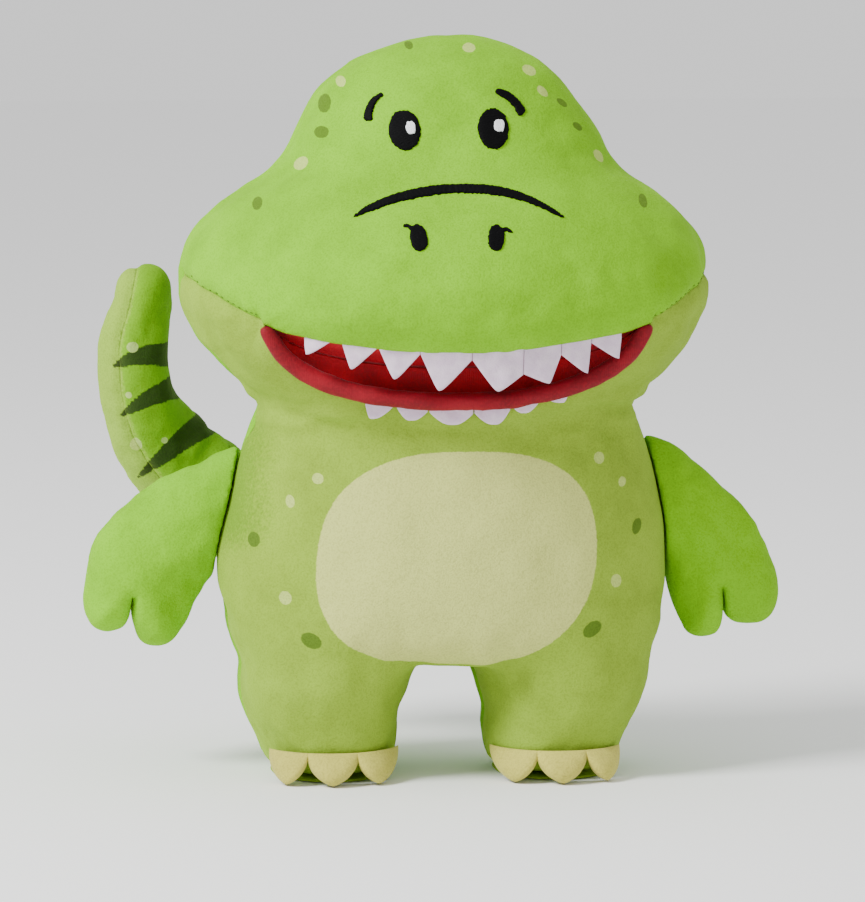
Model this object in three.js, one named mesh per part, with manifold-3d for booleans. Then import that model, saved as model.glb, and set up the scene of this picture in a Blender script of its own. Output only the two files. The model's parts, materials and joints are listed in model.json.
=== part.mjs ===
// A stuffed toy dinosaur, about 300 mm tall, standing on two short legs.
// Units are millimetres, +Z is up, and the toy faces -Y, so its own right hand is at -X.
// The toy is a set of sewn fabric panels round stuffing, with felt teeth, an embroidered face,
// and arms, tail and head that move where the real toy gives way at its seams.
import * as THREE from "three";
import { mergeVertices } from "three/addons/utils/BufferGeometryUtils.js";
import Module from "manifold-3d";

const wasm = await Module();
wasm.setup();

// ---------------------------------------------------------------- driving dimensions
const SKIN = 1.5; // plush fabric, pile included
const GAP = 0.3; // clearance between pieces that touch
const SMOOTHING = 0.1; // how far a surface may move when small triangles are merged
const FILL_INSET = SKIN + 2; // stuffing lies this far under the outside
const ROUNDNESS = 2.2; // exponent of the superellipse that every body section follows
const BODY_SIDES = 24; // corners of each body section
const FILL_SIDES = 14;
const LIMB_SIDES = 12;
const LIMB_FILL_SIDES = 8;
const FRAME_SHIFT_Y = -6.5; // puts the origin at the middle of the footprint

// Sections of the trunk from crown to hips: height, half width, reach forward, reach back.
const TRUNK = [
  [300, 0, 0, 0],
  [297, 22, 19, 21],
  [290, 38.5, 32, 34],
  [278, 52.5, 42, 44],
  [264, 61.5, 49, 50],
  [250, 68.5, 56, 53],
  [242, 76.5, 62, 54.5],
  [235, 88.5, 69, 55],
  [227, 97.5, 77, 55.5],
  [216, 104.5, 86, 55.5],
  [204, 108, 91.5, 55],
  [190, 106.5, 91, 53.5],
  [177, 101, 84, 51],
  [165, 89, 73, 48],
  [156, 80.5, 63, 45.5],
  [148, 77.8, 54.5, 44],
  [138, 80.8, 51.5, 44.5],
  [122, 85.5, 52.5, 47],
  [102, 89.5, 55.5, 49.5],
  [80, 90.3, 56.5, 50],
  [60, 89.3, 54, 48],
  [49, 87.5, 50, 45.5],
  [43, 80, 44, 40],
];
// Sections of a leg from inside the hip to the sole: height, centre from the middle, half width, forward, back.
const LEG = [
  [62, 46, 37, 45, 41],
  [39, 48.3, 37.3, 47, 43],
  [27, 48.7, 32.9, 44, 40],
  [14.6, 45.4, 29.4, 41, 37],
  [8, 45.4, 27, 38.5, 34.5],
  [2, 45.4, 23.5, 34, 30],
];
const SOLE = { centre: 45.4, halfWidth: 22, forward: 32, back: 28, thickness: 1.6 };

// The mouth, drawn on the front view: half width, and the heights of its corners, upper lip and lower lip.
const MOUTH = { half: 78, cornerZ: 187.7, upperZ: 180.2, lowerZ: 154.2, lowerPower: 3.1, backY: -46 };
const LIP_RADIUS = 4.2;
const LIP_HALF_SPAN = 49;
const CHEEK_SEAM_Z = 204; // where the seam from the mouth corner meets the side seam
const WIDEST = 108; // half width of the cheeks there

// The soft neck gives way about this line; the head's underside is a round that turns in the body.
const NECK = { y: 18, z: 172, radius: 34, headDeg: 4, bodyDeg: -4.8 };

// Shoulder seam of the left arm, and the sections of the arm outside it.
const SHOULDER = { top: [92.4, 137], bottom: [101.4, 86], y: 4, radius: 8.5 };
// Upright slices through the arm from its seam outwards: x, lowest z, highest z, half thickness.
const ARM = [
  [104, 76, 129, 12.5],
  [110, 62, 122.5, 16],
  [116, 54.5, 117.5, 17],
  [122, 55, 112, 17],
  [128, 57, 105, 16.2],
  [134, 58.5, 96.5, 14],
  [138, 60.5, 88, 10.5],
  [140.5, 64, 79, 6],
];
// The slit between the two fingers of the mitten.
const FINGER_SLIT = { x: 124, top: 75, bottom: 50, width: 5 };

// Centre line and radius of the tail, from its seam on the back to its tip.
const TAIL_ROOT = { at: [-6, 76, 84], radius: 22 };
const TAIL = [
  [-28, 80.5, 85, 23],
  [-54, 81, 90, 23],
  [-80, 76, 102, 22],
  [-101.5, 69, 120, 19.8],
  [-113, 62, 134, 17.5],
  [-119.5, 56, 150, 15.5],
  [-122.8, 51, 170, 13.8],
  [-120, 47, 193.5, 10.5],
];
const TAIL_BEND = { share: 0.36, wedgeDeg: 14 };

const TOE = { length: 19, halfWidths: [8, 9.6, 7.6], x: [27.5, 45.7, 63.2], rootZ: 11, tipZ: 2.2, clear: 3.2, fanDeg: 26 };
const FELT = 1.2;
// Upper teeth from the toy's right to its left: centre, half width, depth.
const UPPER_TEETH = [
  [-55.5, 6, 9.5],
  [-42, 7.4, 12.5],
  [-26.8, 7.6, 15.5],
  [-9.8, 9.4, 18.5],
  [10, 9.4, 18.5],
  [27, 7.4, 16.5],
  [41, 6.4, 13.5],
  [53.5, 5.8, 11.5],
];
const LOWER_TEETH = [
  [-32.5, 5.2, 6],
  [-20, 5.6, 7],
  [-6.5, 7.4, 8.5],
  [9, 7.2, 9],
  [23.5, 6.2, 7.5],
  [36, 5.2, 6.5],
];

// Embroidery, drawn on the front view of the face.
const EYE = { x: 18.3, z: 263.8, halfWidth: 6.9, halfHeight: 8.7, glintUp: 2.2, glintIn: 1.6, glint: 2.4 };
const BROW = { x: 30.5, z: 276.5, chord: 13.5, rise: 2.6, thick: 3, tiltDeg: 50 };
const FROWN = { z: 230, half: 42.5, rise: 12, thick: 3.2 };
const NOSTRIL = { x: 15.5, z: 223.2, halfWidth: 3.6, halfHeight: 5.3 };
const STITCH_LAYER = 0.9;

// ---------------------------------------------------------------- colours
const COLOURS = {
  brightGreen: 0x8fc14a,
  leafGreen: 0x9cb861,
  cream: 0xd6cf93,
  red: 0xa81225,
  felt: 0xe6dde6,
  black: 0x14141a,
  white: 0xf2f2f2,
  fill: 0xf4f2ec,
};
const fabrics = Object.fromEntries(
  Object.entries(COLOURS).map(([name, color]) => [
    name,
    new THREE.MeshStandardMaterial({ name, color, roughness: 0.95, metalness: 0 }),
  ]),
);

// ---------------------------------------------------------------- solids
const radians = THREE.MathUtils.degToRad;

// A closed three.js geometry as a solid that can be joined and cut.
function solid(geometry) {
  const plain = geometry.index ? geometry.toNonIndexed() : geometry.clone();
  for (const name of Object.keys(plain.attributes)) if (name !== "position") plain.deleteAttribute(name);
  const merged = mergeVertices(plain, 1e-3);
  return new wasm.Manifold(
    new wasm.Mesh({
      numProp: 3,
      vertProperties: new Float32Array(merged.attributes.position.array),
      triVerts: new Uint32Array(merged.index.array),
    }),
  );
}

const toy = new THREE.Group();
toy.position.y = FRAME_SHIFT_Y;

// Adds a solid to the toy as a named mesh, without the crumbs that a cut can leave.
function piece(name, made, material) {
  const parts = made.simplify(SMOOTHING).decompose();
  const whole = parts.reduce((largest, part) => (part.volume() > largest.volume() ? part : largest));
  const { vertProperties, triVerts } = whole.getMesh();
  const geometry = new THREE.BufferGeometry();
  geometry.setAttribute("position", new THREE.BufferAttribute(vertProperties, 3));
  geometry.setIndex(new THREE.BufferAttribute(triVerts, 1));
  geometry.computeVertexNormals();
  const mesh = new THREE.Mesh(geometry, material);
  mesh.name = name;
  toy.add(mesh);
}

// A closed skin over rings of points that all have the same count, with a flat fan at each end.
function skinOver(rings) {
  const count = rings[0].length;
  const points = rings.flat();
  const triangles = [];
  const quad = (a, b, c, d) => triangles.push(a, b, c, a, c, d);
  for (let r = 0; r + 1 < rings.length; r++)
    for (let i = 0; i < count; i++) {
      const next = (i + 1) % count;
      quad(r * count + i, (r + 1) * count + i, (r + 1) * count + next, r * count + next);
    }
  const fan = (ring, first, flip) => {
    const middle = ring.reduce((sum, p) => sum.add(p), new THREE.Vector3()).divideScalar(count);
    points.push(middle);
    const hub = points.length - 1;
    for (let i = 0; i < count; i++) {
      const next = (i + 1) % count;
      triangles.push(hub, first + (flip ? next : i), first + (flip ? i : next));
    }
  };
  fan(rings[0], 0, false);
  fan(rings.at(-1), (rings.length - 1) * count, true);
  const geometry = new THREE.BufferGeometry().setFromPoints(points);
  geometry.setIndex(triangles);
  return solid(geometry);
}

// One superellipse ring at height z, with its own reach forward (-Y) and back.
function bodyRing(z, cx, halfWidth, forward, back, sides) {
  return Array.from({ length: sides }, (_, i) => {
    const angle = (2 * Math.PI * i) / sides;
    const [c, s] = [Math.cos(angle), Math.sin(angle)];
    const bend = (v) => Math.sign(v) * Math.abs(v) ** (2 / ROUNDNESS);
    return new THREE.Vector3(cx + halfWidth * bend(c), (s < 0 ? forward : back) * bend(s), z);
  });
}

// The trunk and legs as one form, drawn in by inset on every side.
function figure(inset, sides) {
  const clamp = (v) => Math.max(v - inset, 0.8);
  const trunk = TRUNK.map(([z, w, f, b], i) => {
    const level = i === 0 ? z - inset : i === 1 ? z - 0.9 * inset : i === TRUNK.length - 1 ? z + inset : z;
    return bodyRing(level, 0, clamp(w), clamp(f), clamp(b), sides);
  });
  let made = skinOver(trunk);
  for (const side of [-1, 1]) {
    const leg = LEG.map(([z, cx, w, f, b], i) =>
      bodyRing(i === LEG.length - 1 ? z + Math.max(inset, 0) : z, side * cx, clamp(w), clamp(f), clamp(b), sides),
    );
    made = made.add(skinOver(leg));
  }
  return made;
}

// Where the front of the trunk lies at (x, z).
function frontY(x, z) {
  const i = Math.max(1, TRUNK.findIndex(([level]) => level <= z));
  const [[z0, w0, f0], [z1, w1, f1]] = [TRUNK[i - 1], TRUNK[i]];
  const t = (z0 - z) / (z0 - z1);
  const [w, f] = [w0 + (w1 - w0) * t, f0 + (f1 - f0) * t];
  return -f * Math.max(0, 1 - Math.abs(x / w) ** ROUNDNESS) ** (1 / ROUNDNESS);
}

// A prism along Y from yBack to yFront whose section is drawn on the front view as [x, z] points.
function prismAlongY(outline, yBack, yFront) {
  const shape = new THREE.Shape(outline.map(([x, z]) => new THREE.Vector2(x, z)));
  const geometry = new THREE.ExtrudeGeometry(shape, { depth: yBack - yFront, bevelEnabled: false });
  geometry.rotateX(Math.PI / 2); // (x, y, depth) to (x, -depth, y)
  geometry.translate(0, yBack, 0);
  return solid(geometry);
}

// A prism along X, across the whole toy, whose section is drawn on the side view as [y, z] points.
function prismAlongX(outline) {
  const shape = new THREE.Shape(outline.map(([y, z]) => new THREE.Vector2(y, z)));
  const geometry = new THREE.ExtrudeGeometry(shape, { depth: 400, bevelEnabled: false });
  geometry.applyMatrix4(
    new THREE.Matrix4().makeBasis(
      new THREE.Vector3(0, 1, 0),
      new THREE.Vector3(0, 0, 1),
      new THREE.Vector3(1, 0, 0),
    ),
  );
  geometry.translate(-200, 0, 0);
  return solid(geometry);
}

function block(low, high) {
  const size = high.map((v, i) => v - low[i]);
  const geometry = new THREE.BoxGeometry(...size);
  geometry.translate(...low.map((v, i) => v + size[i] / 2));
  return solid(geometry);
}

const FAR = 400;
const inFront = (y) => block([-FAR, -FAR, -FAR], [FAR, y - GAP / 2, FAR]);
const behind = (y) => block([-FAR, y + GAP / 2, -FAR], [FAR, FAR, FAR]);

// ---------------------------------------------------------------- head and body, split at the neck
const steps = (from, to, count) => Array.from({ length: count + 1 }, (_, i) => from + ((to - from) * i) / count);
const upperLip = (x) => MOUTH.upperZ + (MOUTH.cornerZ - MOUTH.upperZ) * (x / MOUTH.half) ** 2;
const lowerLip = (x) =>
  MOUTH.lowerZ + (MOUTH.cornerZ - MOUTH.lowerZ) * Math.abs(x / MOUTH.half) ** MOUTH.lowerPower;

// The mouth pocket, made smaller all round by inset.
function mouthPocket(inset) {
  let half = MOUTH.half + Math.max(-inset, 0);
  while (upperLip(half) - lowerLip(half) < 2 * inset) half -= 0.5;
  const above = steps(half, -half, 16).map((x) => [x, upperLip(x) - inset]);
  const below = steps(-half, half, 16).map((x) => [x, lowerLip(x) + inset]);
  return prismAlongY([...above, ...below.slice(1, -1)], MOUTH.backY - inset, -FAR);
}

// Everything that turns with the head: above a plane in front of the neck line, and inside a round about it.
function aboveNeck(deg, radius) {
  const rise = Math.tan(radians(deg)) * (FAR - NECK.y);
  const wedge = prismAlongX([
    [NECK.y, NECK.z],
    [FAR, NECK.z],
    [FAR, FAR],
    [-FAR + 2 * NECK.y, FAR],
    [-FAR + 2 * NECK.y, NECK.z + rise],
  ]);
  const round = new THREE.CylinderGeometry(radius, radius, 400, 28);
  round.rotateZ(Math.PI / 2);
  round.translate(0, NECK.y, NECK.z);
  return wedge.add(solid(round));
}

const headSide = aboveNeck(NECK.headDeg, NECK.radius);
const headSideLoose = aboveNeck(NECK.bodyDeg, NECK.radius + 0.5);
const pocket = mouthPocket(0);
const skin = figure(0, BODY_SIDES).subtract(figure(SKIN, BODY_SIDES)).subtract(pocket);
const fill = figure(FILL_INSET, FILL_SIDES).subtract(mouthPocket(-2.4));
const headSkin = skin.intersect(headSide);
const bodySkin = skin.subtract(headSideLoose);
const noFeet = block([-FAR, -FAR, SOLE.thickness + GAP], [FAR, FAR, FAR]);

// Below this line on the front view lies the paler fabric of the cheeks.
const cheekLine = [
  [-FAR, CHEEK_SEAM_Z],
  [-WIDEST, CHEEK_SEAM_Z],
  [-94, CHEEK_SEAM_Z - 6.5],
  ...steps(-MOUTH.half, MOUTH.half, 12).map((x) => [x, upperLip(x)]),
  [94, CHEEK_SEAM_Z - 6.5],
  [WIDEST, CHEEK_SEAM_Z],
  [FAR, CHEEK_SEAM_Z],
];
const belowLine = (lift) =>
  prismAlongY([...cheekLine.map(([x, z]) => [x, z + lift]), [FAR, 0], [-FAR, 0]], FAR, -FAR);

const faceFront = headSkin.intersect(inFront(0));
piece("face_panel", faceFront.subtract(belowLine(GAP / 2)), fabrics.brightGreen);
const cheeks = faceFront.intersect(belowLine(-GAP / 2));
piece("right_cheek_panel", cheeks.intersect(block([-FAR, -FAR, 0], [-20, FAR, FAR])), fabrics.leafGreen);
piece("left_cheek_panel", cheeks.intersect(block([20, -FAR, 0], [FAR, FAR, FAR])), fabrics.leafGreen);
piece("head_back_panel", headSkin.intersect(behind(0)), fabrics.brightGreen);
piece("head_stuffing", fill.intersect(headSide), fabrics.fill);

piece("body_front_panel", bodySkin.intersect(inFront(0)).intersect(noFeet), fabrics.leafGreen);
piece("body_back_panel", bodySkin.intersect(behind(0)).intersect(noFeet), fabrics.brightGreen);
piece("body_stuffing", fill.subtract(headSideLoose).intersect(noFeet), fabrics.fill);

// ---------------------------------------------------------------- mouth
const lining = mouthPocket(GAP)
  .subtract(mouthPocket(GAP + SKIN * 0.8))
  .intersect(figure(SKIN + GAP, BODY_SIDES));
piece("mouth_roof_lining", lining.intersect(headSide), fabrics.red);
piece("mouth_floor_lining", lining.subtract(headSideLoose), fabrics.red);

const lipInset = LIP_RADIUS + GAP + SKIN * 1.4 + 0.6;
const lipPath = new THREE.CatmullRomCurve3(
  steps(-LIP_HALF_SPAN, LIP_HALF_SPAN, 14).map((x) => {
    const z = lowerLip(x) + lipInset;
    return new THREE.Vector3(x, frontY(x, z) + 1.5, z);
  }),
);
const circle = (radius, sides) =>
  new THREE.Shape(
    steps(0, 2 * Math.PI, sides).slice(0, -1).map((a) => new THREE.Vector2(radius * Math.cos(a), radius * Math.sin(a))),
  );
piece(
  "lower_lip_roll",
  solid(
    new THREE.ExtrudeGeometry(circle(LIP_RADIUS - 0.9, 8), { steps: 20, bevelEnabled: false, extrudePath: lipPath }),
  ),
  fabrics.red,
);

// A felt tooth: a rounded triangle that hangs from its top edge at (0, 0), facing -Y.
function tooth(halfWidth, depth) {
  const shape = new THREE.Shape();
  shape.moveTo(-halfWidth, 0);
  shape.lineTo(-0.16 * halfWidth, -0.93 * depth);
  shape.quadraticCurveTo(0, -1.05 * depth, 0.16 * halfWidth, -0.93 * depth);
  shape.lineTo(halfWidth, 0);
  shape.closePath();
  const geometry = new THREE.ExtrudeGeometry(shape, { depth: FELT, bevelEnabled: false, curveSegments: 3 });
  geometry.rotateX(Math.PI / 2);
  geometry.translate(0, FELT / 2, 0);
  return geometry;
}

function placeTooth(name, [x, halfWidth, depth], topZ, y) {
  const turn = Math.atan2(frontY(x + 2, topZ) - frontY(x - 2, topZ), 4);
  const mesh = new THREE.Mesh(tooth(halfWidth, depth), fabrics.felt);
  mesh.name = name;
  mesh.rotation.z = turn;
  mesh.position.set(x, y, topZ);
  toy.add(mesh);
}

UPPER_TEETH.forEach((t, i) => {
  const topZ = upperLip(Math.max(0, Math.abs(t[0]) - t[1])) - 2.1;
  placeTooth(`upper_tooth_${i + 1}`, t, topZ, frontY(t[0], topZ) + 3.2);
});
LOWER_TEETH.forEach((t, i) => {
  const topZ = lowerLip(t[0]) + 0.5;
  placeTooth(`lower_tooth_${i + 1}`, t, topZ, frontY(Math.max(0, Math.abs(t[0]) - t[1]), topZ) - 1.4);
});

// ---------------------------------------------------------------- embroidered face
// A thin layer of thread on the face, cut to an outline on the front view.
function embroidery(outline, level) {
  const layer = figure(-(level + STITCH_LAYER), BODY_SIDES).subtract(figure(-level, BODY_SIDES));
  return layer.intersect(prismAlongY(outline, -20, -FAR));
}

const ellipse = (cx, cz, a, b, count = 16) =>
  steps(0, 2 * Math.PI, count).slice(0, -1).map((t) => [cx + a * Math.cos(t), cz + b * Math.sin(t)]);

// A stroke that bows upwards and tapers to both ends, before any tilt.
function stroke(cx, cz, half, rise, thick, tiltDeg, count = 10) {
  const line = (sign) =>
    steps(-1, 1, count).map((t) => [half * t, rise * (1 - t * t) + (sign * thick * (1 - 0.8 * t * t)) / 2]);
  const [c, s] = [Math.cos(radians(tiltDeg)), Math.sin(radians(tiltDeg))];
  return [...line(-1), ...line(1).reverse()].map(([x, z]) => [cx + x * c - z * s, cz + x * s + z * c]);
}

for (const [side, name] of [
  [-1, "right"],
  [1, "left"],
]) {
  const eyeX = side * EYE.x;
  piece(`${name}_eye`, embroidery(ellipse(eyeX, EYE.z, EYE.halfWidth, EYE.halfHeight), GAP), fabrics.black);
  piece(
    `${name}_eye_glint`,
    embroidery(
      ellipse(eyeX + EYE.glintIn, EYE.z + EYE.glintUp, EYE.glint * 0.8, EYE.glint, 10),
      2 * GAP + STITCH_LAYER,
    ),
    fabrics.white,
  );
  piece(
    `${name}_brow`,
    embroidery(
      stroke(side * BROW.x, BROW.z, BROW.chord / 2, BROW.rise, BROW.thick, -side * BROW.tiltDeg, 6),
      GAP,
    ),
    fabrics.black,
  );
  piece(
    `${name}_nostril`,
    embroidery(ellipse(side * NOSTRIL.x, NOSTRIL.z, NOSTRIL.halfWidth, NOSTRIL.halfHeight, 12), GAP),
    fabrics.black,
  );
}
piece("frown_line", embroidery(stroke(0, FROWN.z, FROWN.half, FROWN.rise, FROWN.thick, 0, 14), GAP), fabrics.black);

// ---------------------------------------------------------------- feet
const soleRing = (z) => (side) =>
  bodyRing(z, side * SOLE.centre, SOLE.halfWidth, SOLE.forward, SOLE.back, 24);
for (const [side, name] of [
  [-1, "right"],
  [1, "left"],
]) {
  piece(`${name}_sole`, skinOver([soleRing(SOLE.thickness)(side), soleRing(0)(side)]), fabrics.leafGreen);
  // Three claws fan out from the front of the foot and slope down to the floor.
  TOE.x.forEach((x, i) => {
    const across = (x - LEG[3][1]) / (LEG[3][2] + 4);
    const rootY = -LEG[3][3] * (1 - Math.abs(across) ** ROUNDNESS) ** (1 / ROUNDNESS) - TOE.clear;
    const fan = radians(across * TOE.fanDeg);
    const claw = steps(0, 1, 4).map((t) => {
      const reach = TOE.length * t;
      const halfWidth = TOE.halfWidths[i] * Math.sqrt(Math.max(0.02, 1 - t ** 1.8));
      const halfHeight = 1.9 + (TOE.rootZ - TOE.tipZ - 4) * (1 - t ** 1.4);
      const z = TOE.rootZ + (TOE.tipZ - TOE.rootZ) * t;
      return Array.from({ length: 8 }, (_, k) => {
        const a = (2 * Math.PI * (k + 0.5)) / 8;
        const [u, v] = [halfWidth * Math.cos(a), halfHeight * Math.sin(a)];
        return new THREE.Vector3(
          side * (x + u * Math.cos(fan) + reach * Math.sin(fan)),
          rootY - reach * Math.cos(fan) + u * Math.sin(fan),
          Math.max(z + v, 0.02),
        );
      });
    });
    const made = skinOver(side < 0 ? claw : claw.map((ring) => [...ring].reverse()));
    piece(`${name}_toe_${i + 1}`, made.subtract(figure(-GAP, BODY_SIDES)), fabrics.cream);
  });
}

// ---------------------------------------------------------------- arms
// One ring of the left arm, about a middle at (cx, cz), with its long way up and its thickness along Y.
function armRing([cx, cz, halfLength, halfThick, tiltDeg], inset, sides) {
  const [c, s] = [Math.cos(radians(tiltDeg)), Math.sin(radians(tiltDeg))];
  return Array.from({ length: sides }, (_, i) => {
    const a = (2 * Math.PI * i) / sides;
    const along = Math.max(halfLength - 1.5 * inset, 1) * Math.sin(a);
    const out = (halfThick - inset) * Math.cos(a);
    return new THREE.Vector3(cx + along * s, SHOULDER.y - out, cz + along * c);
  });
}

function leftArm(inset, sides) {
  const [[tx, tz], [bx, bz]] = [SHOULDER.top, SHOULDER.bottom];
  const tilt = THREE.MathUtils.radToDeg(Math.atan2(tx - bx, tz - bz));
  const half = Math.hypot(tx - bx, tz - bz) / 2;
  // The arm starts in a round about its seam, so that it can turn there.
  const round = steps(-1 + inset / SHOULDER.radius, 0.2, 4).map((t) => [
    (tx + bx) / 2 + SHOULDER.radius * t,
    (tz + bz) / 2,
    half - 3 * (1 - Math.sqrt(Math.max(0.02, 1 - t * t))),
    SHOULDER.radius * Math.sqrt(Math.max(0.03, 1 - t * t)),
    tilt,
  ]);
  const slices = ARM.map(([x, low, high, thick], i) => [
    x + inset * Math.cos((Math.PI * i) / (ARM.length - 1)),
    (low + high) / 2,
    (high - low) / 2,
    thick,
    0,
  ]);
  const rings = [...round, ...slices].map((ring) => {
    const [x, z, length, thick, tiltDeg] = ring;
    return armRing([x, z, Math.max(length, inset + 1), Math.max(thick, inset + 1), tiltDeg], inset, sides);
  });
  const { x, top, bottom, width } = FINGER_SLIT;
  const halfSlit = width / 2 + inset;
  const slit = [
    [x - halfSlit, bottom],
    [x + halfSlit, bottom],
    [x + halfSlit * 0.35, top + inset],
    [x - halfSlit * 0.35, top + inset],
  ];
  return skinOver(rings).subtract(prismAlongY(slit, 60, -60));
}

const armSkin = leftArm(0, LIMB_SIDES).subtract(leftArm(SKIN, LIMB_SIDES));
const armFill = leftArm(FILL_INSET + 1, LIMB_FILL_SIDES);
for (const [side, name] of [
  [-1, "right"],
  [1, "left"],
]) {
  const place = (made) => (side < 0 ? made.mirror([1, 0, 0]) : made);
  piece(`${name}_arm_front`, place(armSkin.intersect(inFront(SHOULDER.y))), fabrics.brightGreen);
  piece(`${name}_arm_back`, place(armSkin.intersect(behind(SHOULDER.y))), fabrics.brightGreen);
  piece(`${name}_arm_stuffing`, place(armFill), fabrics.fill);
}

// ---------------------------------------------------------------- tail
const tailLine = new THREE.CatmullRomCurve3(TAIL.map(([x, y, z]) => new THREE.Vector3(x, y, z)));
const tailRadius = (t) => {
  const at = t * (TAIL.length - 1);
  const i = Math.min(Math.floor(at), TAIL.length - 2);
  return TAIL[i][3] + (TAIL[i + 1][3] - TAIL[i][3]) * (at - i);
};
const up = new THREE.Vector3(0, 0, 1);

// A ring across the tail at share t of its length; its first point is on the outside of the bend.
function tailRing(t, radius, sides) {
  const centre = tailLine.getPoint(t);
  const ahead = tailLine.getTangent(t);
  const across = new THREE.Vector3(0, 1, 0).addScaledVector(ahead, -ahead.y).normalize();
  const other = new THREE.Vector3().crossVectors(ahead, across);
  return Array.from({ length: sides }, (_, i) => {
    const a = (2 * Math.PI * i) / sides;
    return centre
      .clone()
      .addScaledVector(across, radius * Math.cos(a))
      .addScaledVector(other, -radius * Math.sin(a));
  });
}

function tail(inset, sides) {
  const along = steps(0, 1, 12).map((t) => tailRing(t, tailRadius(t) - inset, sides));
  const tip = steps(0.3, 1, 3).map((u) => {
    const ring = tailRing(1, (TAIL.at(-1)[3] - inset) * Math.sqrt(Math.max(0.02, 1 - u * u)), sides);
    const shift = tailLine.getTangent(1).multiplyScalar((TAIL.at(-1)[3] * 0.9 - inset) * u);
    return ring.map((p) => p.clone().add(shift));
  });
  const ball = new THREE.SphereGeometry(TAIL_ROOT.radius - inset, sides, sides / 2);
  ball.translate(...TAIL_ROOT.at);
  const neck = solid(ball);
  const start = tailRing(0, TAIL_ROOT.radius - inset, sides);
  const back = new THREE.Vector3(...TAIL_ROOT.at).sub(tailLine.getPoint(0));
  return skinOver([start.map((p) => p.clone().add(back)), ...along, ...tip]).add(neck);
}

const bendPoint = tailLine.getPoint(TAIL_BEND.share);
const bendAhead = tailLine.getTangent(TAIL_BEND.share);
const bendAxis = new THREE.Vector3(0, 1, 0).addScaledVector(bendAhead, -bendAhead.y).normalize();

// Half of space past the bend, opened by deg on both sides of the bend's axis.
function pastBend(direction) {
  const [near, far, wedge] = [0.35, 200, radians(TAIL_BEND.wedgeDeg / 2)];
  const shape = new THREE.Shape([
    new THREE.Vector2(0, near),
    new THREE.Vector2(far, near + far * Math.tan(wedge)),
    new THREE.Vector2(far, far),
    new THREE.Vector2(-far, far),
    new THREE.Vector2(-far, near + far * Math.tan(wedge)),
  ]);
  const geometry = new THREE.ExtrudeGeometry(shape, { depth: 2 * far, bevelEnabled: false });
  geometry.translate(0, 0, -far);
  const ahead = bendAhead.clone().multiplyScalar(direction);
  const side = new THREE.Vector3().crossVectors(ahead, bendAxis);
  geometry.applyMatrix4(new THREE.Matrix4().makeBasis(side, ahead, bendAxis).setPosition(bendPoint));
  return solid(geometry);
}

// The tail's seam runs along both sides, between its striped upper fabric and its pale underside.
// The upper fabric is what lies above and inside the centre line on the front view.
function tailFabric(part, isTop) {
  const lift = isTop ? GAP / 2 : -GAP / 2;
  const seam = TAIL.map(([x, , z]) => [x + lift, z + lift]);
  const [tipX] = seam.at(-1);
  const line = [[60, seam[0][1]], ...seam, [tipX, 260]];
  const rest = isTop ? [[60, 260]] : [[-200, 260], [-200, 0], [60, 0]];
  return part.intersect(prismAlongY([...line, ...rest], 160, -40));
}

const tailSkin = tail(0, LIMB_SIDES).subtract(tail(SKIN, LIMB_SIDES));
const tailFill = tail(FILL_INSET, LIMB_FILL_SIDES);
for (const [name, direction] of [
  ["tail_base", -1],
  ["tail_tip", 1],
]) {
  const region = pastBend(direction);
  const part = tailSkin.intersect(region);
  piece(`${name}_top`, tailFabric(part, true), fabrics.brightGreen);
  piece(`${name}_underside`, tailFabric(part, false), fabrics.leafGreen);
  piece(`${name}_stuffing`, tailFill.intersect(region), fabrics.fill);
}

// ---------------------------------------------------------------- sewn-in label
const LABEL = { x: 30, y: 47.5, z: 66, width: 16, reach: 12, thickness: 0.9 };
piece(
  "sewn_label",
  block(
    [LABEL.x, LABEL.y, LABEL.z - LABEL.thickness / 2],
    [LABEL.x + LABEL.width, LABEL.y + LABEL.reach, LABEL.z + LABEL.thickness / 2],
  ),
  fabrics.white,
);

export default toy;
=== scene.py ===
import json
import math
import bmesh
import bpy
import numpy as np
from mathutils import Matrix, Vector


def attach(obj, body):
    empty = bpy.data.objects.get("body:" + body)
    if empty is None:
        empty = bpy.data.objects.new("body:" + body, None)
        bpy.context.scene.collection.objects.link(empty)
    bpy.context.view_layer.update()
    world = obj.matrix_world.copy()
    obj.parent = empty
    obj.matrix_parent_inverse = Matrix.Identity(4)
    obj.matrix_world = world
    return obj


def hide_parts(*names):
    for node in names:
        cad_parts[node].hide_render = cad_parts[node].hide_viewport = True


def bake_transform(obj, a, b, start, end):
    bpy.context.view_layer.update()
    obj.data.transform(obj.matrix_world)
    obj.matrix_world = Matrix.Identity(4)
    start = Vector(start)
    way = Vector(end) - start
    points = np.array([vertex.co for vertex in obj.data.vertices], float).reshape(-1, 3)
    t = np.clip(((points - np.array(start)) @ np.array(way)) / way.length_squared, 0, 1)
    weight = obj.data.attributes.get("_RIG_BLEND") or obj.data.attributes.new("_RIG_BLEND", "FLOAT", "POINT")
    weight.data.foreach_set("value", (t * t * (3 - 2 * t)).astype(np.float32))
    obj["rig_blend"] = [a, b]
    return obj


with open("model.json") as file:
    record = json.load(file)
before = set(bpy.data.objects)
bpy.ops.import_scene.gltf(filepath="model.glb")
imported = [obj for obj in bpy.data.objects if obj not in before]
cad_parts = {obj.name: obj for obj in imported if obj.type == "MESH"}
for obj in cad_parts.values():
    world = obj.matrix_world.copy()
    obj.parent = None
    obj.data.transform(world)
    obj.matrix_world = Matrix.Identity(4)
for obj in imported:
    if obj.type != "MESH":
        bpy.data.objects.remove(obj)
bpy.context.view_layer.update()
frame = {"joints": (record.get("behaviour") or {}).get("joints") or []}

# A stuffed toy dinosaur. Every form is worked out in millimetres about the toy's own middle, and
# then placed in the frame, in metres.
import openvdb
from mathutils import Vector
from mathutils.bvhtree import BVHTree
from mathutils.kdtree import KDTree

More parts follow.
